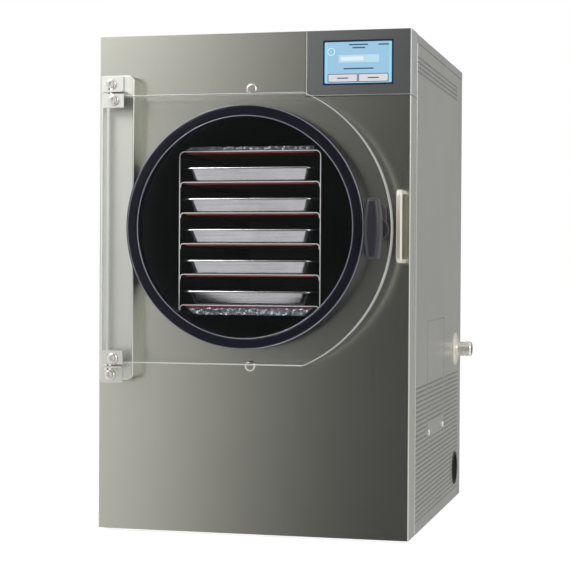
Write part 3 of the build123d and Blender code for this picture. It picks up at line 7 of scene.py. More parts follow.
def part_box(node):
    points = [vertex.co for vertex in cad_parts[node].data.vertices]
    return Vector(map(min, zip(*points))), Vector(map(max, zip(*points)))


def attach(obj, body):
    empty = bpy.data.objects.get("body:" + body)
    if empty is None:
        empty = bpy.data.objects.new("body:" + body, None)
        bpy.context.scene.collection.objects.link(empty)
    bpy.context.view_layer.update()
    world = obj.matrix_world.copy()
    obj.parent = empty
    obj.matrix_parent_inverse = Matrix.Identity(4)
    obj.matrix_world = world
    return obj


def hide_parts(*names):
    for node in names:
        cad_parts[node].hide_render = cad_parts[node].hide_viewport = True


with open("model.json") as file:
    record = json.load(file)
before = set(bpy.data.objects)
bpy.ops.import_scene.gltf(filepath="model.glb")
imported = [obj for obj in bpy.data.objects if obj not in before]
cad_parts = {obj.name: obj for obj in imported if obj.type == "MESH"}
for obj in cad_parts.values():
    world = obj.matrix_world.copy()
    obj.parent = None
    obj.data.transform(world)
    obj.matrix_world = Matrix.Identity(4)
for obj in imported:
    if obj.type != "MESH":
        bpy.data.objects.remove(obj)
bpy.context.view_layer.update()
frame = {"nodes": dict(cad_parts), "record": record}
cadNodes = frame["nodes"]
print("frame loaded:", len(cadNodes), "CAD nodes")

closeBy = 0.00001      # places nearer than this, in metres, count as one
facing = 0.99          # least share of a normal along the axis that it faces


# handling of pieces in object and edit mode

def dropPick():
    bpy.ops.object.select_all(action="DESELECT")


def holdPiece(piece):
    dropPick()
    piece.select_set(True)
    bpy.context.view_layer.objects.active = piece


def settlePiece():
    # the piece in hand stays where it is, with its origin at the world's, unturned and unscaled
    bpy.ops.object.transform_apply(location=True, rotation=True, scale=True)


def enterEdit():
    bpy.ops.object.mode_set(mode="EDIT")


def leaveEdit():
    bpy.ops.object.mode_set(mode="OBJECT")


def takeAll():
    bpy.ops.mesh.select_all(action="SELECT")


def pickParts(piece, wanted, kind="FACE"):
    # wanted(place, normal) says which are taken (for edges, their direction); leaves edit mode on
    enterEdit()
    bpy.ops.mesh.select_mode(type=kind)
    bpy.ops.mesh.select_all(action="DESELECT")
    leaveEdit()
    mesh = piece.data
    if kind == "FACE":
        for face in mesh.polygons:
            face.select = wanted(face.center, face.normal)
    elif kind == "EDGE":
        for edge in mesh.edges:
            a, b = (mesh.vertices[i].co for i in edge.vertices)
            edge.select = wanted((a + b) / 2, (b - a).normalized())
    else:
        for point in mesh.vertices:
            point.select = wanted(point.co, point.normal)
    enterEdit()


def pushOut(move, grow=(1, 1, 1), about=(0, 0, 0)):
    # one step of an extrusion: out, then wider or narrower about a point
    bpy.ops.mesh.extrude_region_move(TRANSFORM_OT_translate={"value": move})
    if grow != (1, 1, 1):
        bpy.ops.transform.resize(value=grow, center_override=about)


def cutThrough(at, way, clear=True):
    # cuts the whole mesh in edit mode; clear drops what lies beyond the plane
    takeAll()
    bpy.ops.mesh.bisect(plane_co=at, plane_no=way, clear_outer=clear)


def applyModifier(piece, kind, **settings):
    holdPiece(piece)
    modifier = piece.modifiers.new(kind.title(), kind)
    for key, value in settings.items():
        setattr(modifier, key, value)
    bpy.ops.object.modifier_apply(modifier=modifier.name)


def fixNormals(piece):
    holdPiece(piece)
    enterEdit()
    takeAll()
    bpy.ops.mesh.remove_doubles(threshold=closeBy)
    bpy.ops.mesh.normals_make_consistent(inside=False)
    leaveEdit()


def copyPiece(piece, move):
    # a copy with a mesh of its own
    holdPiece(piece)
    bpy.ops.object.duplicate(linked=False)
    bpy.ops.transform.translate(value=move)
    return bpy.context.view_layer.objects.active


def joinPieces(pieces):
    holdPiece(pieces[0])
    for piece in pieces:
        piece.select_set(True)
    bpy.ops.object.join()
    return bpy.context.view_layer.objects.active


def finishPiece(piece, name, body, finish=None, replaced=(), angle=35):
    holdPiece(piece)
    settlePiece()
    if angle:
        bpy.ops.object.shade_smooth_by_angle(angle=radians(angle))
    piece.name = name
    piece.data.name = name
    if finish:
        piece.data.materials.clear()
        piece.data.materials.append(finish)
    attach(piece, body)
    if replaced:
        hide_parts(*replaced)
    return piece


# building of finishes from nodes

def newFinish(name):
    finish = bpy.data.materials.new(name)
    finish.use_nodes = True
    return finish, finish.node_tree


def addNode(tree, kind, values=None):
    node = tree.nodes.new("ShaderNode" + kind)
    for socket, value in (values or {}).items():
        node.inputs[socket].default_value = value
    return node


def addNoise(tree, place, scale, detail):
    noise = addNode(tree, "TexNoise", {"Scale": scale, "Detail": detail})
    tree.links.new(place, noise.inputs["Vector"])
    return noise.outputs["Fac"]


def addRange(tree, source, least, most, start=0.0, end=1.0):
    # what runs from start to end in the source runs from least to most
    spread = addNode(tree, "MapRange", {"From Min": start, "From Max": end,
                                        "To Min": least, "To Max": most})
    tree.links.new(source, spread.inputs["Value"])
    return spread.outputs["Result"]


def addMix(tree, blend="MIX"):
    # the node itself and the sockets of its two colours
    mix = tree.nodes.new("ShaderNodeMix")
    mix.data_type = "RGBA"
    mix.blend_type = blend
    return mix, mix.inputs[6], mix.inputs[7]


def addProduct(tree, tone, factor):
    mix, first, second = addMix(tree, "MULTIPLY")
    mix.inputs["Factor"].default_value = 1.0
    tree.links.new(tone, first)
    tree.links.new(factor, second)
    return mix.outputs[2]


def tint(colour, factor):
    return tuple(min(1.0, c * factor) for c in colour) + (1.0,)


def even(count):
    return (count, count, count)


pattern = {
    "fineDetail": 4.0,
    "slowDetail": 3.0,
    "slowLow": 0.3,           # the slow noise seldom leaves these two levels
    "slowHigh": 0.7,
    "leastRough": 0.02,
}


def makeFinish(name, tone, rough, metal=0.0, shine=0.5, grain=even(30), shade=0.06, roughSwing=0.04,
               bump=0.02, depth=0.0004, cloud=3.0, cloudShade=0.04):
    # tone is linear; grain stretches the fine pattern, cloud is the slow change over the surface
    material, tree = newFinish(name)
    shader = tree.nodes["Principled BSDF"]
    shader.inputs["Metallic"].default_value = metal
    shader.inputs["Specular IOR Level"].default_value = shine
    place = addNode(tree, "TexCoord").outputs["Object"]
    stretch = addNode(tree, "Mapping", {"Scale": grain})
    tree.links.new(place, stretch.inputs["Vector"])
    fine = addNoise(tree, stretch.outputs["Vector"], 1.0, pattern["fineDetail"])
    slow = addNoise(tree, place, cloud, pattern["slowDetail"])
    fineTone, dark, light = addMix(tree)
    dark.default_value = tint(tone, 1 - shade)
    light.default_value = tint(tone, 1 + shade)
    tree.links.new(fine, fineTone.inputs["Factor"])
    slowShade = addRange(tree, slow, 1 - cloudShade, 1 + cloudShade,
                         pattern["slowLow"], pattern["slowHigh"])
    tree.links.new(addProduct(tree, fineTone.outputs[2], slowShade), shader.inputs["Base Color"])
    roughness = addRange(tree, fine, max(pattern["leastRough"], rough - roughSwing),
                         min(1.0, rough + roughSwing))
    tree.links.new(roughness, shader.inputs["Roughness"])
    if bump:
        relief = addNode(tree, "Bump", {"Strength": bump, "Distance": depth})
        tree.links.new(fine, relief.inputs["Height"])
        tree.links.new(relief.outputs["Normal"], shader.inputs["Normal"])
    return material


brush = {
    "upright": (900, 900, 14),     # grain that runs up and down
    "across": (14, 900, 900),
    "deep": (900, 14, 900),
    "even": even(700),
}
finishes = {
    "front_steel": makeFinish("frontSteel", (0.605, 0.607, 0.535), rough=0.22, metal=1.0,
                              grain=brush["upright"], shade=0.025, roughSwing=0.03, bump=0.03,
                              cloud=2.2, cloudShade=0.03),
    "bezel_steel": makeFinish("bezelSteel", (0.29, 0.30, 0.30), rough=0.3, metal=1.0,
                              grain=brush["across"], shade=0.03, bump=0.03, cloud=6),
    "side_steel": makeFinish("sideSteel", (0.50, 0.50, 0.465), rough=0.3, metal=1.0,
                             grain=brush["upright"], shade=0.03, bump=0.04, cloud=4,
                             cloudShade=0.05),
    "plated_steel": makeFinish("platedSheet", (0.55, 0.56, 0.57), rough=0.42, metal=1.0,
                               grain=brush["even"], shade=0.05, cloud=25, cloudShade=0.12),
    "screw_steel": makeFinish("screwSteel", (0.74, 0.72, 0.67), rough=0.2, metal=1.0,
                              grain=brush["even"], shade=0.04),
    "catch_steel": makeFinish("catchSteel", (0.82, 0.79, 0.70), rough=0.34, metal=0.5,
                              grain=brush["upright"], shade=0.05),
    "latch_steel": makeFinish("latchSteel", (0.12, 0.12, 0.125), rough=0.4, metal=1.0,
                              grain=brush["even"], shade=0.08),
    "rubber": makeFinish("rubber", (0.03, 0.03, 0.03), rough=0.75, shine=0.3, grain=even(400),
                         shade=0.2, bump=0.1),
    "gasket": makeFinish("gasketRubber", (0.005, 0.0045, 0.012), rough=0.2, shine=0.14,
                         grain=even(260), shade=0.15, roughSwing=0.05, bump=0.03, cloud=9,
                         cloudShade=0.1),
    "black_plastic": makeFinish("blackPlastic", (0.03, 0.03, 0.032), rough=0.5, grain=even(900),
                                shade=0.12, bump=0.12),
    "knob_plastic": makeFinish("knobPlastic", (0.014, 0.0125, 0.021), rough=0.36, shine=0.6,
                               grain=even(700), shade=0.12, bump=0.04),
    "screen": makeFinish("screenGlass", (0.02, 0.03, 0.09), rough=0.12, grain=even(60),
                         shade=0.05, bump=0),
    # the drum's inside is given a near-black base colour
    "drum_black": makeFinish("drumNearBlack", (0.012, 0.012, 0.013), rough=0.42, shine=0.4,
                             grain=even(300), shade=0.15, bump=0.06, cloud=14, cloudShade=0.15),
    "copper": makeFinish("copper", (0.72, 0.36, 0.2), rough=0.28, metal=1.0, grain=even(200),
                         shade=0.12, cloud=30, cloudShade=0.2),
    "foam": makeFinish("foam", (0.72, 0.64, 0.4), rough=0.85, shine=0.2, grain=even(500),
                       shade=0.1, bump=0.4, depth=0.001, cloud=20, cloudShade=0.08),
    "drain_plastic": makeFinish("drainPlastic", (0.74, 0.77, 0.77), rough=0.35, grain=even(90),
                                shade=0.04),
    "pump_black": makeFinish("pumpEnamel", (0.02, 0.02, 0.021), rough=0.36, grain=even(350),
                             shade=0.1, bump=0.08),
    "board_green": makeFinish("boardGreen", (0.02, 0.13, 0.05), rough=0.4, grain=even(250),
                              shade=0.35, bump=0.1),
    "rack_alu": makeFinish("rackSheet", (0.55, 0.54, 0.56), rough=0.2, metal=1.0,
                           grain=brush["deep"], shade=0.05),
    "tray_steel": makeFinish("traySteel", (0.50, 0.495, 0.515), rough=0.22, metal=1.0,
                             grain=(9, 9, 420), shade=0.22, roughSwing=0.1, bump=0.1,
                             depth=0.0006, cloud=18, cloudShade=0.08),
    "heater_red": makeFinish("heaterMat", (0.16, 0.018, 0.014), rough=0.62, shine=0.4,
                             grain=even(600), shade=0.15, bump=0.1),
    "foil": makeFinish("foil", (0.235, 0.25, 0.285), rough=0.36, metal=1.0,
                       grain=(260, 260, 120), shade=0.12, roughSwing=0.1, bump=0.35,
                       depth=0.0008),
}

smear = {
    "scale": 40,
    "detail": 5.0,
    "leastRough": 0.01,
}


def plainFinish(name, tone, rough, alpha=1.0, shine=0.5, glow=0.0, swing=0.02, shade=1.0):
    # one plain shader whose roughness alone is patterned, for clear and lit surfaces
    material, tree = newFinish(name)
    shader = tree.nodes["Principled BSDF"]
    shader.inputs["Base Color"].default_value = tuple(c * shade for c in tone) + (1.0,)
    shader.inputs["Alpha"].default_value = alpha
    shader.inputs["Specular IOR Level"].default_value = shine
    if glow:
        shader.inputs["Emission Color"].default_value = tuple(tone) + (1.0,)
        shader.inputs["Emission Strength"].default_value = glow
    place = addNode(tree, "TexCoord").outputs["Object"]
    cloud = addNoise(tree, place, smear["scale"], smear["detail"])
    roughness = addRange(tree, cloud, max(smear["leastRough"], rough - swing), rough + swing)
    tree.links.new(roughness, shader.inputs["Roughness"])
    return material


# painted light: a paler, warmer copy of the front steel for the hinge post, its brackets and hinge
# plates, for the brighter light they show
postSteelPaintedLight = makeFinish("postSteelPaintedLight", (0.75, 0.76, 0.70), rough=0.36, metal=0.95,
                       grain=brush["upright"], shade=0.03, roughSwing=0.05, bump=0.03, cloud=5,
                       cloudShade=0.03)
doorFace = plainFinish("doorFace", (0.10, 0.11, 0.11), rough=0.06, alpha=0.03, shine=0.25)
# painted highlight: the door's edges get a pale, nearly opaque finish for the bright lines light
# makes along the clear acrylic
doorEdgeHighlight = plainFinish("doorEdgeHighlight", (0.72, 0.74, 0.71), rough=0.22, alpha=0.8, swing=0.05)
finishes["acrylic"] = doorFace


def dressNode(nodeName, finish):
    for place in cadNodes[nodeName].material_slots:
        place.material = finish


for row in frame["record"]["subparts"]:
    dressNode(row["node"], finishes[row["material_slot"]])
for nodeName in ("hinge_post", "post_brackets", "door_hinge_plates"):
    dressNode(nodeName, postSteelPaintedLight)
dressNode("port_flange", finishes["catch_steel"])

# painted light: the control panel's right flank gets a paler base colour than its face, for the
# brighter light it shows
flank = {
    "deep": 0.0009,
    "fade": 0.00018,
    "paintedLightGain": 2.1,
}
tree = finishes["bezel_steel"].node_tree
baseColour = tree.nodes["Principled BSDF"].inputs["Base Color"]
faceTone = baseColour.links[0].from_socket
split = addNode(tree, "SeparateXYZ")
tree.links.new(addNode(tree, "TexCoord").outputs["Object"], split.inputs["Vector"])
intoNode = cadNodes["control_bezel"].matrix_world.inverted()
flankX = (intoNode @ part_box("control_bezel")[1]).x - flank["deep"]
paintedLightGain = addRange(tree, split.outputs["X"], 1.0, flank["paintedLightGain"], flankX, flankX + flank["fade"])
tree.links.new(addProduct(tree, faceTone, paintedLightGain), baseColour)
print("finishes on", len(cadNodes), "CAD nodes")

# clear door: flat pane with a round right side, its edges in a painted highlight finish
doorPane = {
    "arcRadius": 0.2285,
    "arcSteps": 192,
    "edgeRound": 0.0009,
    "edgeSteps": 2,
    "edgeAngle": 50,
}
low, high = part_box("door_panel")
arcX = high.x - doorPane["arcRadius"]
midZ = (low.z + high.z) / 2
dropPick()
bpy.ops.mesh.primitive_circle_add(vertices=doorPane["arcSteps"], radius=doorPane["arcRadius"],
                                  fill_type="NGON", location=(arcX, low.y, midZ),
                                  rotation=(pi / 2, 0, 0))
pane = bpy.context.object
settlePiece()
enterEdit()
cutThrough((0, 0, high.z), (0, 0, 1))
cutThrough((0, 0, low.z), (0, 0, -1))
cutThrough((arcX, 0, 0), (-1, 0, 0))
leaveEdit()
pickParts(pane, lambda at, way: abs(at.x - arcX) < closeBy and abs(way.x) < 1 - facing, "EDGE")
pushOut((low.x - arcX, 0, 0))
bpy.ops.mesh.select_mode(type="FACE")
takeAll()
pushOut((0, high.y - low.y, 0))
leaveEdit()
fixNormals(pane)
applyModifier(pane, "BEVEL", width=doorPane["edgeRound"], segments=doorPane["edgeSteps"],
              limit_method="ANGLE", angle_limit=radians(doorPane["edgeAngle"]))
pane.data.materials.append(doorFace)
pane.data.materials.append(doorEdgeHighlight)
for face in pane.data.polygons:
    face.material_index = 0 if abs(face.normal.y) > facing else 1
finishPiece(pane, "doorPane", "door", replaced=["door_panel"])
print("door pane made")

# trays: pressed pan with a rolled bead all round
trayPan = {
    "cornerRadius": 0.015,
    "cornerSteps": 8,
    "beadDrop": 0.0022,        # from the rim's top down to the bead's curled edge
    "beadRound": 0.0011,
    "curlIn": 0.0006,
    "curlDrop": 0.0003,
    "curlRise": 0.0004,
    "rim": 0.005,
    "lipIn": 0.0005,
    "lipDrop": 0.0006,
    "taper": radians(18),
    "floorRound": 0.003,
    "roundRise": (0.7, 0.3),       # shares of a rounding's radius that its two steps rise
    "beadInset": (0.3, 1.0),       # and that they end inwards of where it starts
    "floorInset": (0.5, 1.2),
    "sheet": 0.0007,
}


def makeTray():
    pan = trayPan
    low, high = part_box("tray_1")
    middle = (low + high) / 2
    wide, deep, tall = high - low
    edge, bead, rim, turn = pan["sheet"] / 2, pan["beadRound"], pan["rim"], pan["floorRound"]
    steep, flat = pan["roundRise"]
    size = (wide - 2 * bead, deep - 2 * bead)
    curlAt = (middle.x, middle.y, high.z - pan["beadDrop"])
    dropPick()
    bpy.ops.mesh.primitive_plane_add(size=1, location=curlAt)
    tray = bpy.context.object
    tray.scale = (size[0], size[1], 1)
    settlePiece()
    enterEdit()
    takeAll()
    bpy.ops.mesh.bevel(affect="VERTICES", offset=pan["cornerRadius"], segments=pan["cornerSteps"])
    curled = pan["curlRise"] - pan["curlDrop"]
    run = tall - turn - pan["lipDrop"] - 2 * edge
    foot = rim + run * sin(pan["taper"]) / cos(pan["taper"])
    profile = (
        # how far each step rises, and how far inside the tray's outline it ends
        (-pan["curlDrop"], edge + pan["curlIn"]),
        (pan["curlRise"], edge),
        (pan["beadDrop"] - curled - bead - edge, edge),
        (bead * steep, edge + bead * pan["beadInset"][0]),
        (bead * flat, edge + bead * pan["beadInset"][1]),
        (0, rim - pan["lipIn"]),
        (-pan["lipDrop"], rim),
        (-run, foot),
        (-turn * steep, foot + turn * pan["floorInset"][0]),
        (-turn * flat, foot + turn * pan["floorInset"][1]),
    )
    for rise, inset in profile:
        newSize = (wide - 2 * inset, deep - 2 * inset)
        pushOut((0, 0, rise), (newSize[0] / size[0], newSize[1] / size[1], 1), middle)
        size = newSize
    leaveEdit()
    fixNormals(tray)
    applyModifier(tray, "SOLIDIFY", thickness=pan["sheet"], offset=0)
    return tray


def finishTray(tray, number):
    finishPiece(tray, "trayPan" + str(number), "cabinet", finishes["tray_steel"],
                ["tray_" + str(number)], angle=40)


firstTray = makeTray()
for number in range(2, 6):
    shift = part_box("tray_" + str(number))[0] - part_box("tray_1")[0]
    finishTray(copyPiece(firstTray, shift), number)
finishTray(firstTray, 1)
print("trays made")

# painted highlight: pale strips on the front edges of the rack and its shelves, a lighter copy of
# the rack's metal, for the light those edges catch
rackHighlight = {
    "proud": 0.0003,
    "reach": 0.0002,       # faces up to this far behind the foremost are edges too
}
edgeHighlightFinish = makeFinish("rackEdge", (0.74, 0.73, 0.73), rough=0.42, metal=0.4, grain=brush["even"],
                       shade=0.06)
strips = []
for nodeName in ["rack_frame"] + ["shelf_" + str(number) for number in range(2, 7)]:
    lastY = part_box(nodeName)[0].y + rackHighlight["reach"]
    dropPick()
    bpy.ops.mesh.primitive_plane_add(size=1)
    strip = bpy.context.object
    strip.data = cadNodes[nodeName].data.copy()
    bpy.ops.mesh.customdata_custom_splitnormals_clear()
    fixNormals(strip)
    pickParts(strip, lambda at, way: way.y > -facing or at.y > lastY)
    bpy.ops.mesh.delete(type="FACE")
    takeAll()
    pushOut((0, -rackHighlight["proud"], 0))
    leaveEdit()
    strips.append(strip)
edgeHighlightStrips = joinPieces(strips)
fixNormals(edgeHighlightStrips)
finishPiece(edgeHighlightStrips, "rackEdges", "cabinet", edgeHighlightFinish, angle=30)
print("rack edges made")

# painted highlight: thin pale beads along the gasket's two rims, a much lighter copy of its rubber,
# for the highlight lines on its edges
gasketHighlightBead = {
    "round": 0.0008,
    "roundSteps": 10,
    "squash": 0.9,
    "inset": 0.0015,       # bead's middle, from the gasket's side and from its face
    "bore": 0.172,
    "steps": 192,
}
beadHighlightFinish = makeFinish("gasketHighlightBead", (0.30, 0.30, 0.36), rough=0.26, metal=0.3, shine=0.8,
                        grain=even(260), shade=0.15)
low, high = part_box("door_gasket")
ringAt = ((low.x + high.x) / 2, low.y + gasketHighlightBead["inset"], (low.z + high.z) / 2)
outerRadius = (high.x - low.x) / 2 - gasketHighlightBead["inset"]
innerRadius = gasketHighlightBead["bore"] + gasketHighlightBead["inset"]
beads = []
for beadRadius in (outerRadius, innerRadius):
    dropPick()
    bpy.ops.mesh.primitive_torus_add(major_segments=gasketHighlightBead["steps"], major_radius=beadRadius,
                                     minor_segments=gasketHighlightBead["roundSteps"],
                                     minor_radius=gasketHighlightBead["round"], location=ringAt,
                                     rotation=(pi / 2, 0, 0))
    bead = bpy.context.object
    settlePiece()
    enterEdit()
    takeAll()
    bpy.ops.transform.resize(value=(1, gasketHighlightBead["squash"], 1), center_override=ringAt)
    leaveEdit()
    beads.append(bead)
finishPiece(joinPieces(beads), "gasketHighlightRings", "cabinet", beadHighlightFinish, angle=60)
print("gasket beads made")

# crumpled foil blankets above and below the rack
foilFolds = {
    "cell": 0.0019,
    "leastCells": 2,
    "creaseSize": 0.0075,
    "creaseDepth": 0.0026,
    "fineSize": 0.0028,
    "fineDepth": 0.0012,
    "marginShare": 0.35,       # of the crease depth, kept free inside the blanket's box
    "taper": 0.012,
}


def foldPiece(piece, name, kind, size, depth):
    texture = bpy.data.textures.new(name, kind)
    texture.noise_scale = size
    applyModifier(piece, "DISPLACE", texture=texture, strength=depth, mid_level=0.5)


def makeFoil(name, replacedNode, taper, finish):
    low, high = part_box(replacedNode)
    middle = (low + high) / 2
    size = high - low
    margin = foilFolds["creaseDepth"] * foilFolds["marginShare"]
    inner = [side - 2 * margin for side in size]
    dropPick()
    bpy.ops.mesh.primitive_cube_add(size=1, location=middle)
    foil = bpy.context.object
    foil.scale = inner
    settlePiece()
    if taper:
        pickParts(foil, lambda at, way: at.z < middle.z, "VERT")
        bpy.ops.transform.resize(value=(1 - 2 * taper / size.x, 1, 1), center_override=middle)
        leaveEdit()
    for axis in range(3):
        way = [0, 0, 0]
        way[axis] = 1
        count = max(foilFolds["leastCells"], round(size[axis] / foilFolds["cell"]))
        for cut in range(1, count):
            at = list(middle)
            at[axis] = low[axis] + margin + inner[axis] * cut / count
            enterEdit()
            cutThrough(at, way, clear=False)
            leaveEdit()
    foldPiece(foil, name + "Crease", "VORONOI", foilFolds["creaseSize"], foilFolds["creaseDepth"])
    foldPiece(foil, name + "Fine", "CLOUDS", foilFolds["fineSize"], foilFolds["fineDepth"])
    for point in foil.data.vertices:
        for axis in range(3):
            point.co[axis] = min(max(point.co[axis], low[axis]), high[axis])
    return finishPiece(foil, name, "cabinet", finish, [replacedNode], angle=0)


foilShaded = makeFinish("foilShaded", (0.15, 0.157, 0.175), rough=0.34, metal=1.0,
                        grain=(260, 260, 120), shade=0.12, roughSwing=0.1, bump=0.35,
                        depth=0.0008)
makeFoil("foilTop", "foil_blanket_top", 0, foilShaded)
makeFoil("foilUnder", "foil_blanket_bottom", foilFolds["taper"], finishes["foil"])
print("foil made")

# hems: sheet edges rolled back on themselves beside the seams
hem = {
    "wide": 0.0016,
    "proud": 0.0005,
    "sink": 0.0004,
    "roundShare": 0.8,      # of how far it stands proud
    "roundSteps": 3,
    "stop": 0.002,          # how far short of the panel's outer edge it ends
}


def makeHem(name, start, end, out):
    # a half-round bead from start to end that stands out of the sheet
    start, end, out = Vector(start), Vector(end), Vector(out)
    run = end - start
    along = run.normalized()
    foot = start - out * hem["sink"]
    side = out.cross(run).normalized() * hem["wide"]
    rise = out * (hem["proud"] + hem["sink"]) * 2
    dropPick()
    bpy.ops.mesh.primitive_plane_add(size=1, location=start)
    bead = bpy.context.object
    bead.matrix_world = Matrix.Translation(foot) @ Matrix((side, rise, along)).transposed().to_4x4()
    settlePiece()
    enterEdit()
    cutThrough(foot, -out)
    takeAll()
    pushOut(run)
    leaveEdit()
    fixNormals(bead)
    pickParts(bead, lambda at, way: abs(way.dot(along)) > facing and (at - start).dot(out) > 0,
              "EDGE")
    bpy.ops.mesh.bevel(offset=hem["proud"] * hem["roundShare"], segments=hem["roundSteps"])
    leaveEdit()
    return finishPiece(bead, name, "cabinet", finishes["screw_steel"], angle=50)


half = hem["wide"] / 2
low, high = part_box("control_bezel")
makeHem("bezelHemLeft", (low.x + half, low.y, low.z), (low.x + half, low.y, high.z - hem["stop"]),
        (0, -1, 0))
makeHem("bezelHemLow", (low.x, low.y, low.z + half), (high.x - hem["stop"], low.y, low.z + half),
        (0, -1, 0))
low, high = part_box("right_side_panel")
makeHem("sideHem", (high.x, low.y + half, low.z), (high.x, low.y + half, high.z),
        (1, 0, 0))
print("hems made")

# screen picture: plain shapes only, each a thin tile on the glass
screenPicture = {
    "lift": 0.00012,       # thickness of one layer
    "glow": 0.62,
    "shade": 0.35,
    "rough": 0.2,
    "cornerSteps": 5,
    "ringSteps": 40,
}
inkTones = {
    "picture": (0.35, 0.60, 0.80),
    "band": (0.33, 0.72, 0.90),
    "pale": (0.52, 0.76, 0.90),
    "button": (0.74, 0.74, 0.77),
    "ink": (0.05, 0.10, 0.22),
    "white": (0.80, 0.90, 0.96),
}
screenInks = {key: plainFinish("screen" + key.title(), tone, rough=screenPicture["rough"],
                               glow=screenPicture["glow"], shade=screenPicture["shade"])
              for key, tone in inkTones.items()}
screenTiles = [
    # left, right, top and bottom as shares of the glass; ink; layer; corner radius; ring width
    (0.02, 0.98, 0.035, 0.965, "picture", 1, 0.0015, 0),
    (0.02, 0.06, 0.05, 0.95, "band", 2, 0, 0),
    (0.94, 0.98, 0.05, 0.95, "band", 2, 0, 0),
    (0.05, 0.95, 0.955, 0.965, "pale", 2, 0, 0),
    (0.06, 0.17, 0.14, 0.36, "white", 2, 0, 0.0011),
    (0.37, 0.64, 0.085, 0.115, "ink", 2, 0, 0),
    (0.42, 0.60, 0.155, 0.185, "ink", 2, 0, 0),
    (0.79, 0.94, 0.09, 0.12, "ink", 2, 0, 0),
    (0.22, 0.80, 0.33, 0.50, "pale", 2, 0.002, 0),
    (0.25, 0.58, 0.37, 0.46, "white", 3, 0.0015, 0),
    (0.29, 0.72, 0.625, 0.655, "ink", 2, 0, 0),
    (0.065, 0.495, 0.755, 0.945, "ink", 2, 0.0012, 0),
    (0.075, 0.485, 0.77, 0.93, "button", 3, 0.001, 0),
    (0.505, 0.935, 0.755, 0.945, "ink", 2, 0.0012, 0),
    (0.515, 0.925, 0.77, 0.93, "button", 3, 0.001, 0),
    (0.20, 0.36, 0.84, 0.865, "ink", 4, 0, 0),
    (0.64, 0.80, 0.84, 0.865, "ink", 4, 0, 0),
]
glassLow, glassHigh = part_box("screen_glass")
glassSize = glassHigh - glassLow


def makeTile(left, right, top, bottom, ink, layer, corner, ring):
    wide, tall = (right - left) * glassSize.x, (bottom - top) * glassSize.z
    middle = (glassLow.x + (left + right) / 2 * glassSize.x, glassLow.y,
              glassHigh.z - (top + bottom) / 2 * glassSize.z)
    dropPick()
    if ring:
        bpy.ops.mesh.primitive_circle_add(vertices=screenPicture["ringSteps"], radius=wide / 2,
                                          fill_type="NGON", location=middle,
                                          rotation=(pi / 2, 0, 0))
    else:
        bpy.ops.mesh.primitive_plane_add(size=1, location=middle, rotation=(pi / 2, 0, 0))
        bpy.context.object.scale = (wide, tall, 1)
    tile = bpy.context.object
    settlePiece()
    enterEdit()
    takeAll()
    if corner:
        bpy.ops.mesh.bevel(affect="VERTICES", offset=corner, segments=screenPicture["cornerSteps"])
    if ring:
        bpy.ops.mesh.inset(thickness=ring)
        bpy.ops.mesh.delete(type="FACE")
    takeAll()
    pushOut((0, -screenPicture["lift"] * layer, 0))
    leaveEdit()
    tile.data.materials.append(screenInks[ink])
    return tile


picture = joinPieces([makeTile(*row) for row in screenTiles])
finishPiece(picture, "screenPicture", "cabinet", angle=0)
print("screen picture made")

# plain floor, lifted towards white where the camera sees it
floorSet = {
    "size": (60.0, 60.0),
    "tone": (0.82, 0.82, 0.82),
    "lift": 0.62,
}


def stagePlane(name, size, location, rotation=(0, 0, 0)):
    dropPick()
    bpy.ops.mesh.primitive_plane_add(size=1, location=location, rotation=rotation)
    plane = bpy.context.object
    plane.scale = (size[0], size[1], 1)
    settlePiece()
    plane.name = name
    return plane


def bareFinish(name):
    # a finish with nothing in it but its output
    finish, tree = newFinish(name)
    tree.nodes.clear()
    return finish, tree, addNode(tree, "OutputMaterial").inputs["Surface"]


floor = stagePlane("floor", floorSet["size"], (0, 0, 0))
floorPaint, tree, surface = bareFinish("floorPaint")
matte = addNode(tree, "BsdfDiffuse", {"Color": floorSet["tone"] + (1.0,)})
glow = addNode(tree, "Emission")
both = addNode(tree, "AddShader")
seen = addNode(tree, "LightPath").outputs["Is Camera Ray"]
tree.links.new(addRange(tree, seen, 0.0, floorSet["lift"]), glow.inputs["Strength"])
tree.links.new(matte.outputs["BSDF"], both.inputs[0])
tree.links.new(glow.outputs["Emission"], both.inputs[1])
tree.links.new(both.outputs["Shader"], surface)
floor.data.materials.append(floorPaint)
floor.visible_glossy = False

# cards that the steel mirrors; nothing but reflections sees them
glossCards = {
    # ramp: places along the axis, in metres, with the light there; lean tips the ramp
    "frontCard": {
        "size": (8, 6), "at": (-1.0, -3.5, 0.6), "turn": (pi / 2, 0, 0), "axis": "X", "lean": -5.5,
        "ramp": [(-5.0, 0.80), (-2.2, 1.0), (-1.60, 0.94), (-1.34, 0.67), (-1.08, 0.37),
                 (-0.83, 0.16), (-0.60, 0.07), (-0.38, 0.03), (0.32, 0.03), (0.75, 0.5),
                 (1.2, 0.9), (3.0, 0.9)],
    },
    "sideCard": {
        "size": (3.2, 6), "at": (1.2, 3.2, 0.6), "turn": (pi / 2, 0, 0), "axis": "X", "lean": 0,
        "ramp": [(-0.4, 0.42), (1.0, 0.42), (2.8, 0.5)],
    },
    "leftStrip": {
        "size": (1.6, 3.0), "at": (-3.0, 0.3, 0.9), "turn": (pi / 2, 0, pi / 2), "axis": "Y",
        "lean": 0, "ramp": [(-0.5, 13.0), (1.1, 13.0)],
    },
    "rightStrip": {
        "size": (0.9, 3.0), "at": (2.9, -1.7, 0.9), "turn": (pi / 2, 0, pi / 2), "axis": "Y",
        "lean": 0, "ramp": [(-2.15, 9.0), (-1.25, 9.0)],
    },
}


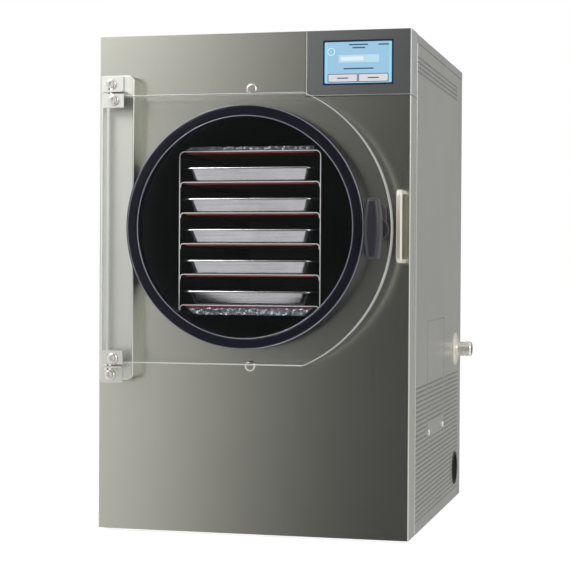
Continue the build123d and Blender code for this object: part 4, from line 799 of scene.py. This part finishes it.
def glossCard(name, row):
    card = stagePlane(name, row["size"], row["at"], row["turn"])
    ramp = row["ramp"]
    start, end = ramp[0][0], ramp[-1][0]
    paint, tree, surface = bareFinish(name + "Light")
    turn = addNode(tree, "Mapping", {"Rotation": (0, radians(row["lean"]), 0)})
    split = addNode(tree, "SeparateXYZ")
    curve = addNode(tree, "FloatCurve")
    light = addNode(tree, "Emission")
    line = curve.mapping.curves[0]
    line.points[0].location = (0, ramp[0][1])
    for at, level in ramp[1:-1]:
        line.points.new((at - start) / (end - start), level)
    line.points[-1].location = (1, ramp[-1][1])
    for point in line.points:
        point.handle_type = "VECTOR"
    curve.mapping.update()
    tree.links.new(addNode(tree, "TexCoord").outputs["Object"], turn.inputs["Vector"])
    tree.links.new(turn.outputs["Vector"], split.inputs["Vector"])
    share = addRange(tree, split.outputs[row["axis"]], 0.0, 1.0, start, end)
    tree.links.new(share, curve.inputs["Value"])
    tree.links.new(curve.outputs["Value"], light.inputs["Strength"])
    tree.links.new(light.outputs["Emission"], surface)
    card.data.materials.append(paint)
    card.visible_camera = False
    card.visible_diffuse = False
    card.visible_shadow = False
    card.visible_transmission = False
    card.visible_volume_scatter = False


for name, row in glossCards.items():
    glossCard(name, row)
print("floor and cards set")

# lamps, world and camera
lampAim = Vector((0, 0, 0.4))
studio = {
    "key": {"at": (-1.9, -2.6, 2.5), "size": 1.6, "power": 62.0},
    "fill": {"at": (2.3, -1.6, 1.6), "size": 1.4, "power": 18.0},
}
for name, lamp in studio.items():
    data = bpy.data.lights.new(name, "AREA")
    data.size = lamp["size"]
    data.energy = lamp["power"]
    holder = bpy.data.objects.new(name, data)
    bpy.context.scene.collection.objects.link(holder)
    holder.location = lamp["at"]
    holder.rotation_euler = (lampAim - Vector(lamp["at"])).to_track_quat("-Z", "Y").to_euler()

surround = {
    "diffuse": 0.5,
    "seen": 1.0,       # straight on, mirrored or through the door
}
world = bpy.data.worlds.new("studioWorld")
bpy.context.scene.world = world
world.use_nodes = True
tree = world.node_tree
backdrop = tree.nodes["Background"]
backdrop.inputs["Color"].default_value = (1, 1, 1, 1)
path = addNode(tree, "LightPath")
seen = path.outputs["Is Camera Ray"]
for ray in ("Is Glossy Ray", "Is Transmission Ray"):
    either = addNode(tree, "Math")
    either.operation = "MAXIMUM"
    tree.links.new(seen, either.inputs[0])
    tree.links.new(path.outputs[ray], either.inputs[1])
    seen = either.outputs["Value"]
level = addRange(tree, seen, surround["diffuse"], surround["seen"])
tree.links.new(level, backdrop.inputs["Strength"])

view = {
    "at": (0.6548, -2.7297, 0.4229),
    "lens": 103.53,
    "sensor": 36.0,
    "reach": 100.0,
    "yaw": 13.8706,
    "pitch": -0.55095,
    "roll": 0.33803,
}
cameraData = bpy.data.cameras.new("viewCamera")
cameraData.lens = view["lens"]
cameraData.sensor_width = view["sensor"]
cameraData.clip_end = view["reach"]
camera = bpy.data.objects.new("viewCamera", cameraData)
bpy.context.scene.collection.objects.link(camera)
turnZ = Matrix.Rotation(radians(view["yaw"]), 4, "Z")
tipX = Matrix.Rotation(radians(90 + view["pitch"]), 4, "X")
rollZ = Matrix.Rotation(radians(view["roll"]), 4, "Z")
camera.matrix_world = Matrix.Translation(view["at"]) @ turnZ @ tipX @ rollZ
bpy.context.scene.camera = camera
bpy.context.scene.view_settings.view_transform = "Standard"
print("lights and camera set")
